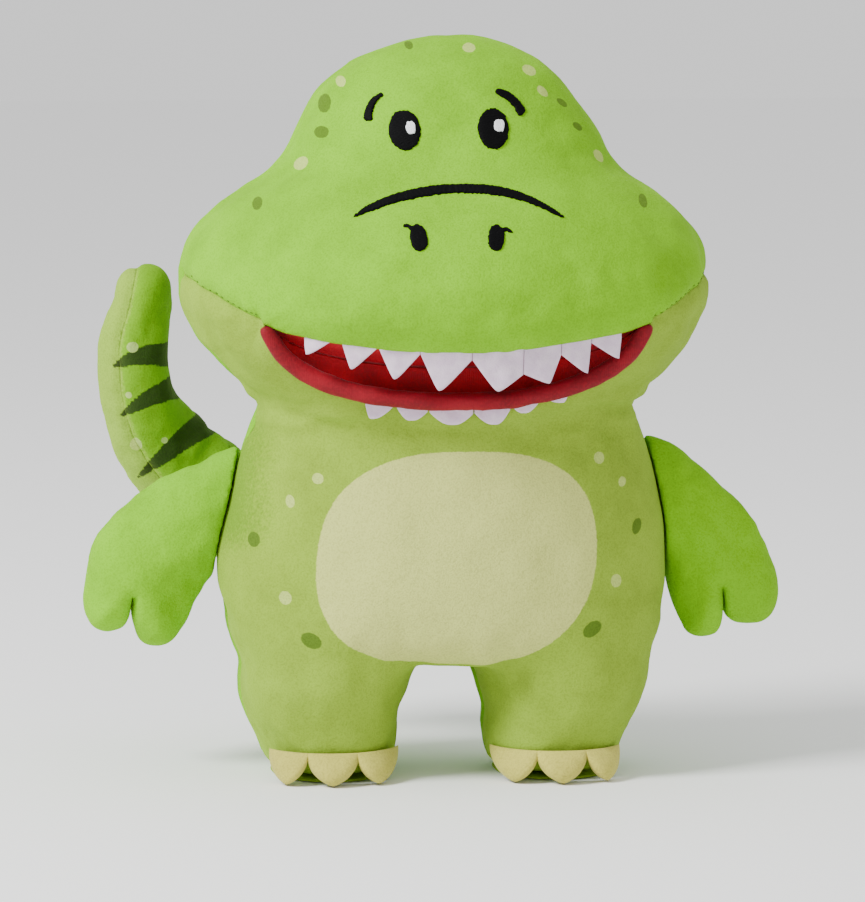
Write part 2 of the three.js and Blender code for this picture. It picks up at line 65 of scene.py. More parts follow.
TOY_Y = -6.5  # where the toy's side seam lies in the frame
MM = 0.001

# --- sizes, as in the CAD model
ROUNDNESS = 2.2
TRUNK = np.array([
    [300, 0, 0, 0], [297, 22, 19, 21], [290, 38.5, 32, 34], [278, 52.5, 42, 44], [264, 61.5, 49, 50],
    [250, 68.5, 56, 53], [242, 76.5, 62, 54.5], [235, 88.5, 69, 55], [227, 98, 77, 55.5],
    [216, 105.8, 86, 55.5], [204, 109.5, 91.5, 55], [190, 107.8, 91, 53.5], [177, 101, 84, 51],
    [165, 89, 73, 48], [156, 80.5, 63, 45.5], [148, 77.8, 54.5, 44], [138, 80.8, 51.5, 44.5],
    [122, 85.5, 52.5, 47], [102, 89.5, 55.5, 49.5], [80, 90.3, 56.5, 50], [60, 89.3, 54, 48],
    [49, 87.5, 50, 45.5], [40, 85, 47, 43],
])
LEG = np.array([
    [62, 46, 37, 45, 41], [39, 48.3, 37.3, 47, 43], [27, 48.7, 32.9, 44, 40], [14.6, 46, 30, 41.5, 37.5],
    [8, 45.6, 28, 39, 35], [2, 45.4, 25.5, 36, 32],
])
MOUTH = {"half": 78, "corner": 187.7, "upper": 178.6, "lower": 154.2}
CHEEK_SEAM = 204  # height of its end at the side
CHEEK_RUN = 30  # from the mouth's corner to there
NECK_SEAM = 150
CROTCH = 44.5
FABRIC = 1.2  # how thick the plush is


# --- numbers
def sections(table, z, columns):
    """Smooth radii at height z from a table of sections. Squares are interpolated, so a crown is round."""
    fine = np.arange(table[:, 0].min() - 12, table[:, 0].max() + 12, 0.5)
    order = np.argsort(table[:, 0])
    heights = table[order, 0]
    kernel = np.exp(-0.5 * (np.arange(-16, 17) * 0.5 / 3.0) ** 2)
    kernel /= kernel.sum()
    out = []
    for column in columns:
        values = table[order, column]
        squares = values * np.abs(values)
        line = np.interp(fine, heights, squares)
        top_slope = (squares[-1] - squares[-2]) / (heights[-1] - heights[-2])
        low_slope = (squares[1] - squares[0]) / (heights[1] - heights[0])
        line = np.where(fine > heights[-1], squares[-1] + top_slope * (fine - heights[-1]), line)
        line = np.where(fine < heights[0], squares[0] + low_slope * (fine - heights[0]), line)
        line = np.convolve(np.pad(line, 16, mode="reflect", reflect_type="odd"), kernel, mode="valid")
        out.append(np.sqrt(np.maximum(np.interp(z, fine, line), 0.04)))
    return out


def smooth_min(a, b, k):
    h = np.maximum(k - np.abs(a - b), 0) / k
    return np.minimum(a, b) - h * h * k / 4


def smooth_max(a, b, k):
    return -smooth_min(-a, -b, k)


def ease(t):
    t = np.clip(t, 0, 1)
    return t * t * (3 - 2 * t)


def bell(t):
    """A smooth bump: 1 at nought, and nearly nothing beyond 2."""
    return np.exp(-(t**2))


def noise(p, scale, seed=0):
    """Smooth noise from -1 to 1 at points p, with lumps of the given size."""
    q = np.asarray(p) / scale + 57.3 * (seed + 1)
    base = np.floor(q).astype(np.int64)
    t = q - base
    t = t * t * t * (t * (6 * t - 15) + 10)
    total = 0
    for corner in range(8):
        step = np.array([corner >> 2 & 1, corner >> 1 & 1, corner & 1])
        c = base + step
        key = (c[:, 0] * 73856093) ^ (c[:, 1] * 19349663) ^ (c[:, 2] * 83492791) ^ (seed * 2654435761)
        key = (key ^ (key >> 13)) * 1274126177 & 0x7FFFFFFF
        key = (key ^ (key >> 16)) * 2246822519 & 0x7FFFFFFF
        value = (key % 100003) / 50001.5 - 1
        weight = np.prod(np.where(step, t, 1 - t), axis=1)
        total = total + value * weight
    return total * 1.6


def folds(a, b, c, seed):
    """Noise over three coordinates that are stretched so that its lumps are long folds."""
    return noise(np.stack([a, b, c], 1), 1.0, seed)


def section_field(x, y, w, forward, back):
    reach = np.where(y < 0, forward, back)
    rho = (np.abs(x / w) ** ROUNDNESS + np.abs(y / reach) ** ROUNDNESS) ** (1 / ROUNDNESS)
    return (rho - 1) * np.minimum(w, reach)


# --- forms as fields, in millimetres
FEET_SHIFT = -1.8  # the feet stand a little towards the toy's right
TAIL_ROOT = np.array([-6, 76, 84.0])
TAIL_ROOT_RADIUS = 22
TAIL_SWAYED = np.array([-29, 76.9, 85.2])  # where its next part comes when it sways to the body


def ball_field(x, y, z, centre, radius):
    return np.sqrt((x - centre[0]) ** 2 + (y - centre[1]) ** 2 + (z - centre[2]) ** 2) - radius


def body_field(x, y, z):
    w, f, b = sections(TRUNK, z, (1, 2, 3))
    w = w * np.where(x < 0, 1 + 0.03 * bell((z - 86) / 20), 1)
    trunk = np.maximum(section_field(x, y, w, f, b), z - 300)
    trunk = smooth_max(trunk, CROTCH + 1.5 - z, 16)
    c, lw, lf, lb = sections(LEG, z, (1, 2, 3, 4))
    planted = FEET_SHIFT * (1 - ease((z - 18) / 30))
    legs = section_field(np.abs(x - planted) - c, y, lw, lf, lb)
    legs = np.maximum(legs, z - 66)
    made = smooth_min(trunk, legs, 9)
    # The back is drawn out a little where the tail is sewn on.
    made = smooth_min(made, ball_field(x, y, z, (TAIL_ROOT[0], 43, TAIL_ROOT[2]), 19), 12)
    # The tail's round root sits in a hollow of it, which leaves room for the tail to sway.
    for place, radius in ((TAIL_ROOT, TAIL_ROOT_RADIUS), (TAIL_SWAYED, 23)):
        made = smooth_max(made, -ball_field(x, y, z, place, radius + 1.6), 3)
    return smooth_max(made, 2.8 - z, 7)


# The outline of each arm on the front view, as for a left arm, and the slit between its two fingers.
ARM_OUTLINES = {
    "right": [
        (74, 126), (83, 130.5), (93, 128), (109, 121.5), (122, 113), (132.5, 103.5), (140, 94), (143.5, 82),
        (145, 70), (143.5, 63), (138, 59.8), (131.5, 60.5), (126.5, 59), (120, 54), (113, 54), (107.5, 60.5),
        (103, 70.5), (98, 79.5), (91, 85.5), (78, 89),
    ],
    "left": [
        (74, 129), (84, 133.5), (94, 129.5), (104.5, 122), (115, 112), (124.5, 101), (132, 88.5), (136, 75),
        (135.2, 66), (130.5, 61.2), (123, 60.6), (116.5, 60.5), (110, 56), (104, 55), (99, 60), (95.5, 70),
        (92.5, 80), (88.5, 86.5), (78, 89),
    ],
}
FINGER_SLITS = {"right": ((128.6, 55.0), (126.6, 73.0)), "left": ((115.6, 56.0), (113.2, 75.0))}
ARM_Y = 4.0
ARM_THICK = 15.4
ARM_ROUND = 21.0
ARM_EASE = 1.8  # what the seam takes in again


def smooth_span(a, b, c, d, steps):
    """Points on a smooth curve from b towards c, which comes from a and goes on to d."""
    return [0.5 * ((2 * b) + (c - a) * t + (2 * a - 5 * b + 4 * c - d) * t**2
                   + (3 * b - a - 3 * c + d) * t**3) for t in np.arange(steps) / steps]


def closed_curve(points, steps=8):
    """A smooth closed curve through points."""
    p = np.array(points, float)
    spans = zip(np.roll(p, 1, 0), p, np.roll(p, -1, 0), np.roll(p, -2, 0))
    return np.array([q for span in spans for q in smooth_span(*span, steps)])


def open_curve(points, steps=14):
    """A smooth curve through points, with its ends free."""
    p = np.array(points, float)
    p = np.vstack([2 * p[0] - p[1], p, 2 * p[-1] - p[-2]])
    spans = zip(p[:-3], p[1:-2], p[2:-1], p[3:])
    return np.array([q for span in spans for q in smooth_span(*span, steps)] + [p[-2]])


def outline_depth(x, z, loop):
    """How deep (x, z) lies inside a closed loop, negative outside."""
    best = np.full(x.shape, 1e9)
    inside = np.zeros(x.shape, bool)
    for (ax, az), (bx, bz) in zip(loop, np.roll(loop, -1, axis=0)):
        dx, dz = bx - ax, bz - az
        t = np.clip(((x - ax) * dx + (z - az) * dz) / (dx * dx + dz * dz), 0, 1)
        best = np.minimum(best, (x - ax - t * dx) ** 2 + (z - az - t * dz) ** 2)
        crosses = (az > z) != (bz > z)
        with np.errstate(divide="ignore", invalid="ignore"):
            inside ^= crosses & (x < (bx - ax) * (z - az) / (bz - az if bz != az else 1e-9) + ax)
    return np.where(inside, 1, -1) * np.sqrt(best)


def segment_distance(x, z, a, b):
    dx, dz = b[0] - a[0], b[1] - a[1]
    t = np.clip(((x - a[0]) * dx + (z - a[1]) * dz) / (dx * dx + dz * dz), 0, 1)
    return np.hypot(x - a[0] - t * dx, z - a[1] - t * dz)


def arm_field(side):
    """The field of one arm, as for a left arm: two flat panels sewn round their edge and stuffed."""
    loop = closed_curve(ARM_OUTLINES[side])

    def at(x, y, z):
        depth = outline_depth(x[:, 0, :], z[:, 0, :], loop)[:, None, :]
        rim = np.maximum(ARM_ROUND - depth, 0) / ARM_ROUND
        # The arm is fuller towards the hand.
        thick = ARM_THICK * (0.86 + 0.14 * ease((x - 84) / 30))
        made = (np.sqrt(rim**2 + ((y - ARM_Y) / thick) ** 2) - 1) * ARM_THICK - ARM_EASE
        slit = 0.7 - segment_distance(x, z, *FINGER_SLITS[side])
        return smooth_max(made, slit, 4.5)

    return at


TAIL = np.array([
    [-6, 76, 84, 22], [-28, 80.5, 85, 23], [-56, 81, 90, 23], [-83, 76, 101, 22.5], [-104, 69, 118.5, 20.4],
    [-116, 62, 133.5, 18.2], [-122.2, 56, 150, 16.3], [-124, 51, 170, 14.6], [-119.8, 47, 193.2, 11.3],
])  # x, y, z and radius along the tail
TAIL_LINE = open_curve(TAIL)


def tail_field(x, y, z):
    best = np.full(x.shape, 1e9)
    for *place, radius in TAIL_LINE[::2]:
        best = np.minimum(best, ball_field(x, y, z, place, radius))
    return best


def tail_place(p):
    """Share of the tail's length at points p, and how far they lie towards its striped side."""
    line = TAIL_LINE[:, :3]
    gap = np.linalg.norm(p[:, None, :] - line[None], axis=2)
    nearest = gap.argmin(axis=1)
    ahead = np.gradient(line, axis=0)
    ahead /= np.linalg.norm(ahead, axis=1)[:, None]
    across = np.array([0, 1, 0]) - ahead * ahead[:, 1:2]
    across /= np.linalg.norm(across, axis=1)[:, None]
    inner = -np.cross(ahead, across)
    offset = p - line[nearest]
    side = (offset * inner[nearest]).sum(axis=1)
    return nearest / (len(line) - 1), side, (offset * across[nearest]).sum(axis=1)


# --- meshes from fields
def surface(field, low, high, step):
    """The zero surface of a field as points and quads, in millimetres."""
    axes = [np.arange(a, b + step, step) for a, b in zip(low, high)]
    grid = np.meshgrid(*axes, indexing="ij")
    values = field(*grid).astype(np.float32)
    volume = openvdb.FloatGrid(float(values.max()))
    volume.copyFromArray(values)
    points, quads = volume.convertToQuads(0.0)
    points = points * step + np.array(low)
    corners = points[quads]
    turn = np.cross(corners[:, 2] - corners[:, 0], corners[:, 3] - corners[:, 1])
    if (corners.mean(axis=1) * turn).sum() < 0:
        quads = quads[:, ::-1]
    return points, quads


def to_bmesh(points, faces):
    bm = bmesh.new()
    verts = [bm.verts.new(p) for p in points]
    for face in faces:
        try:
            bm.faces.new([verts[i] for i in face])
        except ValueError:
            pass
    bm.normal_update()
    return bm


def coordinates(bm):
    return np.array([v.co for v in bm.verts])


def normals(bm):
    bm.normal_update()
    return np.array([v.normal for v in bm.verts])


def move(bm, offsets):
    for v, offset in zip(bm.verts, offsets):
        v.co += Vector(offset)


def relax(bm, rounds, factor=0.5):
    for _ in range(rounds):
        bmesh.ops.smooth_vert(bm, verts=bm.verts, factor=factor,
                              use_axis_x=True, use_axis_y=True, use_axis_z=True)


def cut(bm, field, where=None):
    """Puts edges along the zero line of a field, over the points that where allows."""
    bm.verts.ensure_lookup_table()
    co = coordinates(bm)
    value = field(co)
    allowed = where(co) if where is not None else np.ones(len(co), bool)
    bm.verts.index_update()
    pairs = np.array([[e.verts[0].index, e.verts[1].index] for e in bm.edges])
    a, b = value[pairs[:, 0]], value[pairs[:, 1]]
    crossing = np.nonzero((a * b < 0) & allowed[pairs[:, 0]] & allowed[pairs[:, 1]])[0]
    share = a[crossing] / (a[crossing] - b[crossing])
    held = bm.verts.layers.int.get("held") or bm.verts.layers.int.new("held")
    bm.verts.ensure_lookup_table()
    fixed = np.array([v[held] for v in bm.verts])
    near = {}
    for row, t in zip(crossing, share):
        for vertex, other, s in ((pairs[row, 0], pairs[row, 1], t), (pairs[row, 1], pairs[row, 0], 1 - t)):
            if s < 0.3 and not fixed[vertex] and s < near.get(vertex, (9,))[0]:
                near[vertex] = (s, other)
    for vertex, (s, other) in near.items():
        bm.verts[vertex].co = co[vertex] * (1 - s) + co[other] * s
        value[vertex] = 0
    mark = bm.verts.layers.float.new("cut")
    for i, v in enumerate(bm.verts):
        v[mark] = value[i] if allowed[i] else 1e6
        if i in near:
            v[held] = 1
    touched = set()
    bm.edges.ensure_lookup_table()
    for edge in [bm.edges[row] for row in crossing]:
        v0, v1 = edge.verts
        f0, f1 = v0[mark], v1[mark]
        if f0 * f1 >= 0:
            touched.update(v0.link_faces if f0 == 0 else v1.link_faces)
            continue
        _, new = bmesh.utils.edge_split(edge, v0, f0 / (f0 - f1))
        new[mark] = 0
        new[held] = 1
        touched.update(new.link_faces)
    for face in list(touched):
        if not face.is_valid:
            continue
        signs = [v[mark] for v in face.verts]
        if min(signs) >= 0 or max(s for s in signs if s < 1e5) <= 0:
            continue
        zeros = [v for v in face.verts if v[mark] == 0]
        if len(zeros) >= 2:
            first = zeros[0]
            for second in zeros[1:]:
                if not any(first in e.verts and second in e.verts for e in face.edges):
                    bmesh.utils.face_split(face, first, second)
                    break
    bm.verts.layers.float.remove(mark)


def add_object(name, data):
    made = bpy.data.objects.new(name, data)
    bpy.context.scene.collection.objects.link(made)
    return made


SWELL_FRAMES = 20


def swell(field, low, high, seams, step):
    """How far a stuffed form stands out between its seams, by a cloth simulation with air inside it.

    Returns a function that gives the movement at any points, along the form's outward direction."""
    points, quads = surface(field, low, high, step)
    mesh = bpy.data.meshes.new("pad")
    mesh.from_pydata((points * MM).tolist(), [], quads.tolist())
    pad = add_object("pad", mesh)
    pinned = np.nonzero(seams(points))[0]
    group = pad.vertex_groups.new(name="seam")
    group.add(pinned.tolist(), 1.0, "REPLACE")
    cloth = pad.modifiers.new("Cloth", "CLOTH")
    s = cloth.settings
    s.quality = 4
    s.mass = 0.2
    s.tension_stiffness = s.compression_stiffness = 12
    s.shear_stiffness = 4
    s.bending_stiffness = 0.3
    s.use_pressure = True
    s.uniform_pressure_force = 4
    s.vertex_group_mass = "seam"
    s.shrink_min = -0.03
    s.effector_weights.gravity = 0
    cloth.collision_settings.use_collision = False
    cloth.point_cache.frame_start = 1
    cloth.point_cache.frame_end = SWELL_FRAMES
    for number in range(1, SWELL_FRAMES + 1):
        bpy.context.scene.frame_set(number)
    graph = bpy.context.evaluated_depsgraph_get()
    shape = pad.evaluated_get(graph).to_mesh()
    after = np.array([v.co for v in shape.vertices]) / MM
    out = np.array([v.normal for v in mesh.vertices])
    rise = ((after - points) * out).sum(axis=1)
    rise = np.nan_to_num(rise)
    rise = np.clip(rise - np.median(rise), -5, 5)
    pad.evaluated_get(graph).to_mesh_clear()
    bpy.data.objects.remove(pad)
    bpy.context.scene.frame_set(1)
    tree = KDTree(len(points))
    for i, p in enumerate(points):
        tree.insert(p, i)
    tree.balance()

    def at(where):
        result = np.empty(len(where))
        for i, p in enumerate(where):
            found = tree.find_n(p, 6)
            weight = np.array([1 / (d * d + 4) for _, _, d in found])
            result[i] = (weight * rise[[j for _, j, _ in found]]).sum() / weight.sum()
        return result

    return at


# --- pieces
def piece(name, points, faces, material, rest=None, values=None):
    """A new object from points in millimetres. rest holds where each point lies before it is shaped."""
    mesh = bpy.data.meshes.new(name)
    placed = (np.asarray(points) + np.array([0, TOY_Y, 0])) * MM
    mesh.from_pydata(placed.tolist(), [], [list(map(int, f)) for f in faces])
    attribute = mesh.attributes.new("rest", "FLOAT_VECTOR", "POINT")
    attribute.data.foreach_set("vector", np.asarray(points if rest is None else rest, np.float32).ravel())
    for key, data in (values or {}).items():
        mesh.attributes.new(key, "FLOAT", "POINT").data.foreach_set("value", np.asarray(data, np.float32))
    mesh.update()
    mesh.shade_smooth()
    mesh.materials.append(material)
    return add_object(name, mesh)


def split_pieces(bm, rest, kinds, values=None):
    """Points, faces, rest places and values of each kind of face, as kinds gives for face middles at rest."""
    co = coordinates(bm)
    bm.verts.index_update()
    middles = np.array([rest[[v.index for v in f.verts]].mean(axis=0) for f in bm.faces])
    chosen = kinds(middles)
    out = {}
    for kind in sorted(set(chosen)):
        faces = [[v.index for v in f.verts] for f, k in zip(bm.faces, chosen) if k == kind]
        used = np.unique(np.concatenate([np.array(f) for f in faces]))
        lookup = {old: new for new, old in enumerate(used)}
        extra = {key: data[used] for key, data in (values or {}).items()}
        out[kind] = (co[used], [[lookup[i] for i in f] for f in faces], rest[used], extra)
    return out


def thicken(made):
    """Gives a panel the thickness of its fabric, on the inside."""
    solidify = made.modifiers.new("fabric", "SOLIDIFY")
    solidify.thickness = FABRIC * MM
    solidify.offset = -1
    solidify.use_rim = True
    graph = bpy.context.evaluated_depsgraph_get()
    shape = bpy.data.meshes.new_from_object(made.evaluated_get(graph))
    made.modifiers.clear()
    made.data = shape


def to_frame(x, y, z):
    return (x * MM, (y + TOY_Y) * MM, z * MM)


def register(made, place, slot, *nodes, fill=None):
    """Gives a piece its body, or the two it bends between, and hides the nodes it stands for. slot is not
    used.
    """
    if isinstance(place, str):
        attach(made, place)
    else:
        first, second, start, end = place
        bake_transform(made, first, second, start=start, end=end)
    if nodes:
        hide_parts(*nodes)


def ring_mesh(rings):
    """Points and faces over rings that all have the same count, closed at both ends."""
    rings = [np.asarray(r) for r in rings]
    n = len(rings[0])
    points = np.vstack(rings)
    faces = []
    for r in range(len(rings) - 1):
        for i in range(n):
            j = (i + 1) % n
            faces.append([r * n + i, r * n + j, (r + 1) * n + j, (r + 1) * n + i])
    for first, ring, flip in ((0, rings[0], True), ((len(rings) - 1) * n, rings[-1], False)):
        hub = len(points)
        points = np.vstack([points, ring.mean(axis=0)])
        for i in range(n):
            j = (i + 1) % n
            faces.append([first + j, first + i, hub] if flip else [first + i, first + j, hub])
    return points, faces


def slab(front, back):
    """A closed thin solid between two grids of points, each rows x columns."""
    rows, columns = front.shape[:2]
    points = np.vstack([front.reshape(-1, 3), back.reshape(-1, 3)])

    def at(layer, r, c):
        return layer * rows * columns + r * columns + c

    faces = []
    for r in range(rows - 1):
        for c in range(columns - 1):
            faces.append([at(0, r, c), at(0, r, c + 1), at(0, r + 1, c + 1), at(0, r + 1, c)])
            faces.append([at(1, r, c), at(1, r + 1, c), at(1, r + 1, c + 1), at(1, r, c + 1)])
    edge = ([(0, c) for c in range(columns)] + [(r, columns - 1) for r in range(1, rows)]
            + [(rows - 1, c) for c in range(columns - 2, -1, -1)] + [(r, 0) for r in range(rows - 2, 0, -1)])
    for (r0, c0), (r1, c1) in zip(edge, edge[1:] + edge[:1]):
        faces.append([at(0, r1, c1), at(0, r0, c0), at(1, r0, c0), at(1, r1, c1)])
    return points, faces


# --- materials
DYE = 0.74  # share of each colour's brightness kept, since the studio is bright


def linear(r, g, b):
    """A colour as the eye names it, from 0 to 255, as the shader takes it."""
    shares = [c / 255 / 12.92 if c <= 10 else ((c / 255 + 0.055) / 1.055) ** 2.4 for c in (r, g, b)]
    return tuple(DYE * share for share in shares) + (1,)


def shade(colour, factor, lift=0.0):
    """A colour made lighter or darker."""
    return tuple(min(1, c * factor + lift) for c in colour[:3]) + (1,)


class Graph:
    """A short way to write a material's nodes."""

    def __init__(self, name, roughness, sheen=0.0, sheen_tint=(1, 1, 1, 1), sheen_roughness=0.5,
                 specular=0.2):
        self.material = bpy.data.materials.new(name)
        self.material.use_nodes = True
        self.tree = self.material.node_tree
        self.shader = self.tree.nodes["Principled BSDF"]
        for socket, value in (("Roughness", roughness), ("Sheen Weight", sheen), ("Sheen Tint", sheen_tint),
                              ("Sheen Roughness", sheen_roughness), ("Specular IOR Level", specular)):
            self.shader.inputs[socket].default_value = value
        rest = self.tree.nodes.new("ShaderNodeAttribute")
        rest.attribute_name = "rest"
        self.rest = rest.outputs["Vector"]

    def put(self, socket, value):
        if isinstance(value, bpy.types.NodeSocket):
            self.tree.links.new(value, socket)
        elif value is not None:
            socket.default_value = value

    def calculate(self, kind, operation, values):
        node = self.tree.nodes.new(kind)
        node.operation = operation
        for socket, value in zip(node.inputs, values):
            self.put(socket, value)
        return node.outputs

    def math(self, operation, *values):
        return self.calculate("ShaderNodeMath", operation, values)[0]

    def vector(self, operation, *values):
        outputs = self.calculate("ShaderNodeVectorMath", operation, values)
        return outputs["Value"] if operation == "DOT_PRODUCT" else outputs[0]

    def noise(self, scale, detail=2.0, roughness=0.5):
        """Noise whose lumps are about scale millimetres across."""
        node = self.tree.nodes.new("ShaderNodeTexNoise")
        self.put(node.inputs["Vector"], self.rest)
        node.inputs["Scale"].default_value = 1 / scale
        node.inputs["Detail"].default_value = detail
        node.inputs["Roughness"].default_value = roughness
        return node.outputs["Fac"]

    def ramp(self, value, low, high, out_low=0.0, out_high=1.0):
        """A smooth step of value from low to high."""
        node = self.tree.nodes.new("ShaderNodeMapRange")
        node.interpolation_type = "SMOOTHSTEP"
        self.put(node.inputs["Value"], value)
        for key, number in (("From Min", low), ("From Max", high), ("To Min", out_low), ("To Max", out_high)):
            node.inputs[key].default_value = number
        return node.outputs["Result"]

    def mix(self, factor, a, b, blend="MIX"):
        node = self.tree.nodes.new("ShaderNodeMix")
        node.data_type = "RGBA"
        node.blend_type = blend
        self.put(node.inputs[0], factor)
        self.put(node.inputs[6], a)
        self.put(node.inputs[7], b)
        return node.outputs[2]

    def value_of(self, name):
        node = self.tree.nodes.new("ShaderNodeAttribute")
        node.attribute_name = name
        return node.outputs["Fac"]

    def split(self, vector):
        node = self.tree.nodes.new("ShaderNodeSeparateXYZ")
        self.put(node.inputs[0], vector)
        return node.outputs

    def bump(self, height, distance, strength=1.0, under=None):
        node = self.tree.nodes.new("ShaderNodeBump")
        node.inputs["Distance"].default_value = distance * MM
        node.inputs["Strength"].default_value = strength
        self.put(node.inputs["Height"], height)
        self.put(node.inputs["Normal"], under)
        return node.outputs[0]

    def finish(self, colour, normal=None, roughness=None):
        self.put(self.shader.inputs["Base Color"], colour)
        self.put(self.shader.inputs["Normal"], normal)
        self.put(self.shader.inputs["Roughness"], roughness)
        return self.material


def spots(g, places, soft=0.24):
    """Printed ovals, each (x, z, half width, half height, tilt in degrees), seen from the front."""
    total = None
    for x, z, a, b, *tilt in places:
        turn = math.radians(tilt[0] if tilt else 0)
        c, s = math.cos(turn), math.sin(turn)
        centred = g.vector("SUBTRACT", g.rest, (x, 0, z))
        along = g.math("DIVIDE", g.vector("DOT_PRODUCT", centred, (c, 0, s)), a)
        over = g.math("DIVIDE", g.vector("DOT_PRODUCT", centred, (-s, 0, c)), b)
        squares = g.math("ADD", g.math("MULTIPLY", along, along), g.math("MULTIPLY", over, over))
        reach = g.math("SQRT", squares)
        mask = g.ramp(reach, 1 + soft, 1 - soft)
        total = mask if total is None else g.math("MAXIMUM", total, mask)
    return total


def plush(name, colour, tips, prints=()):
    """Short-pile plush. The pile lies in soft patches, and its tips are paler than its roots."""
    g = Graph(name, 0.9, sheen=0.2, sheen_tint=tips, sheen_roughness=0.45, specular=0.12)
    patches = g.noise(26, 3)
    strokes = g.noise(5.5, 3, roughness=0.6)
    pile = g.noise(0.75, 2)
    base = linear(*colour)
    dark, light = shade(base, 0.8), shade(base, 1.2)
    tone = g.mix(g.ramp(patches, 0.3, 0.7), dark, light)
    tone = g.mix(0.5, base, tone)
    tone = g.mix(g.math("MULTIPLY", g.ramp(strokes, 0.35, 0.75), 0.3), tone, light)
    for mask_of, tint in prints:
        ragged = g.math("ADD", mask_of(g), g.math("MULTIPLY", g.math("SUBTRACT", g.noise(1.3, 1), 0.5), 0.5))
        tone = g.mix(g.math("MULTIPLY", g.ramp(ragged, 0.3, 0.7), 0.9), tone, linear(*tint))
    speckle = g.ramp(pile, 0.3, 0.72, 0.84, 1.12)
    tone = g.mix(1.0, tone, g.mix(speckle, (0, 0, 0, 1), (1, 1, 1, 1)), "MULTIPLY")
    normal = g.bump(strokes, 0.9, 0.5)
    normal = g.bump(pile, 0.3, 0.75, normal)
    return g.finish(tone, normal)


BRIGHT = (135, 206, 8)
LEAF = (154, 188, 56)
TIPS = (0.5, 0.85, 0.06, 1)
DARK_SPOT = (86, 118, 34)
LIGHT_SPOT = (206, 226, 118)
CREAM = (214, 206, 98)

# Printed spots on the front view: x, z, half width, half height and tilt in degrees.
HEAD_DARK = [(-15.6, 296, 1.6, 1.6, 0), (-50.2, 273.4, 2.6, 3.6, -25), (-51.8, 262.2, 2.9, 2.4, 10),
             (-77.6, 234.4, 1.9, 2.6, -20), (45.6, 273.6, 2.7, 1.5, -30), (51.2, 263.8, 2.4, 1.4, -35),
             (76.4, 234.4, 1.9, 2.4, 20)]
HEAD_LIGHT = [(-43, 281.6, 1.9, 2.2, 0), (-60.4, 250.2, 3.2, 2.4, 25), (8, 294.6, 2.6, 1.8, 0),
              (31.6, 285.6, 3.0, 1.9, -20), (36.8, 277.8, 2.8, 1.7, -35), (60.4, 252.2, 2.9, 1.8, -45)]
BODY_DARK = [(-79, 98.8, 2.2, 3.0, 0), (-56.6, 60, 4.2, 2.9, -28), (75, 103, 2.0, 3.3, -18),
             (55.5, 63.4, 4.2, 2.8, 35)]
BODY_LIGHT = [(-54, 124.4, 2.4, 2.2, 0), (-65.6, 115, 2.0, 2.6, 15), (59.6, 131.4, 2.2, 2.4, 0),
              (69.2, 121.2, 1.6, 2.0, 0), (65.8, 82, 2.3, 2.7, 10), (-67, 76.4, 2.4, 2.8, 10)]
TAIL_DOTS = [(-127, 150.4, 1.5, 1.4), (-124, 129, 2.6, 2.8)]
TAIL_TOP_DOTS = [(-125.2, 170.6, 2.4, 2.2), TAIL_DOTS[0], (-112, 131.2, 1.4, 1.3), TAIL_DOTS[1]]
BELLY = {"x": 1.2, "z": 92.6, "half": 55.8, "high": 43.4, "lean": 4.0}


def belly_mask(g):
    """The pale patch printed on the belly: an egg that leans to the toy's left at its top."""
    x, _, z = g.split(g.rest)
    up = g.math("DIVIDE", g.math("SUBTRACT", z, BELLY["z"]), BELLY["high"])
    lean = g.math("MULTIPLY", up, BELLY["lean"])
    across = g.math("DIVIDE", g.math("SUBTRACT", g.math("SUBTRACT", x, BELLY["x"]), lean), BELLY["half"])
    power = 2.45
    total = g.math("ADD", g.math("POWER", g.math("ABSOLUTE", across), power),
                   g.math("POWER", g.math("ABSOLUTE", up), power))
    return g.ramp(total, 1.05, 0.95)


def painted_flank_shade(g):
    """Painted shade: the leaf green is made deeper towards the right flank, beside the arm and below the jaw,
    where the arm and head shade it.
    """
    x, _, z = g.split(g.rest)
    beside = g.ramp(x, -54, -90)
    level = g.ramp(g.math("ABSOLUTE", g.math("SUBTRACT", z, 122)), 44, 16)
    return g.math("MULTIPLY", g.math("MULTIPLY", beside, level), 0.7)


face_plush = plush("bright_plush_face", BRIGHT, TIPS, [
    (lambda g: spots(g, HEAD_DARK), DARK_SPOT),
    (lambda g: spots(g, HEAD_LIGHT), LIGHT_SPOT),
])
bright_plush = plush("bright_plush", BRIGHT, TIPS)
body_plush = plush("leaf_plush", LEAF, TIPS, [
    # painted shade on the right flank, beside the arm
    (painted_flank_shade, (120, 164, 34)),
    (belly_mask, (224, 230, 132)),
    (lambda g: spots(g, BODY_DARK), DARK_SPOT),
    (lambda g: spots(g, BODY_LIGHT), LIGHT_SPOT),
])
pale_plush = plush("pale_plush", LEAF, TIPS)
claw_plush = plush("claw_plush", CREAM, (0.9, 0.85, 0.6, 1))
TAIL_GREEN = (126, 184, 14)
TAIL_SHADES = [
    # painted light: the tail's outer side is paler where the light falls
    (lambda g: g.value_of("pale"), (164, 200, 70)),
    (lambda g: g.value_of("stripe"), (30, 40, 26)),
]
tail_plush = plush("tail_plush", TAIL_GREEN, TIPS, TAIL_SHADES + [
    (lambda g: spots(g, TAIL_TOP_DOTS), (190, 214, 122)),
])
tail_pale_plush = plush("tail_pale_plush", TAIL_GREEN, TIPS, TAIL_SHADES + [
    (lambda g: spots(g, TAIL_DOTS), LIGHT_SPOT),
])


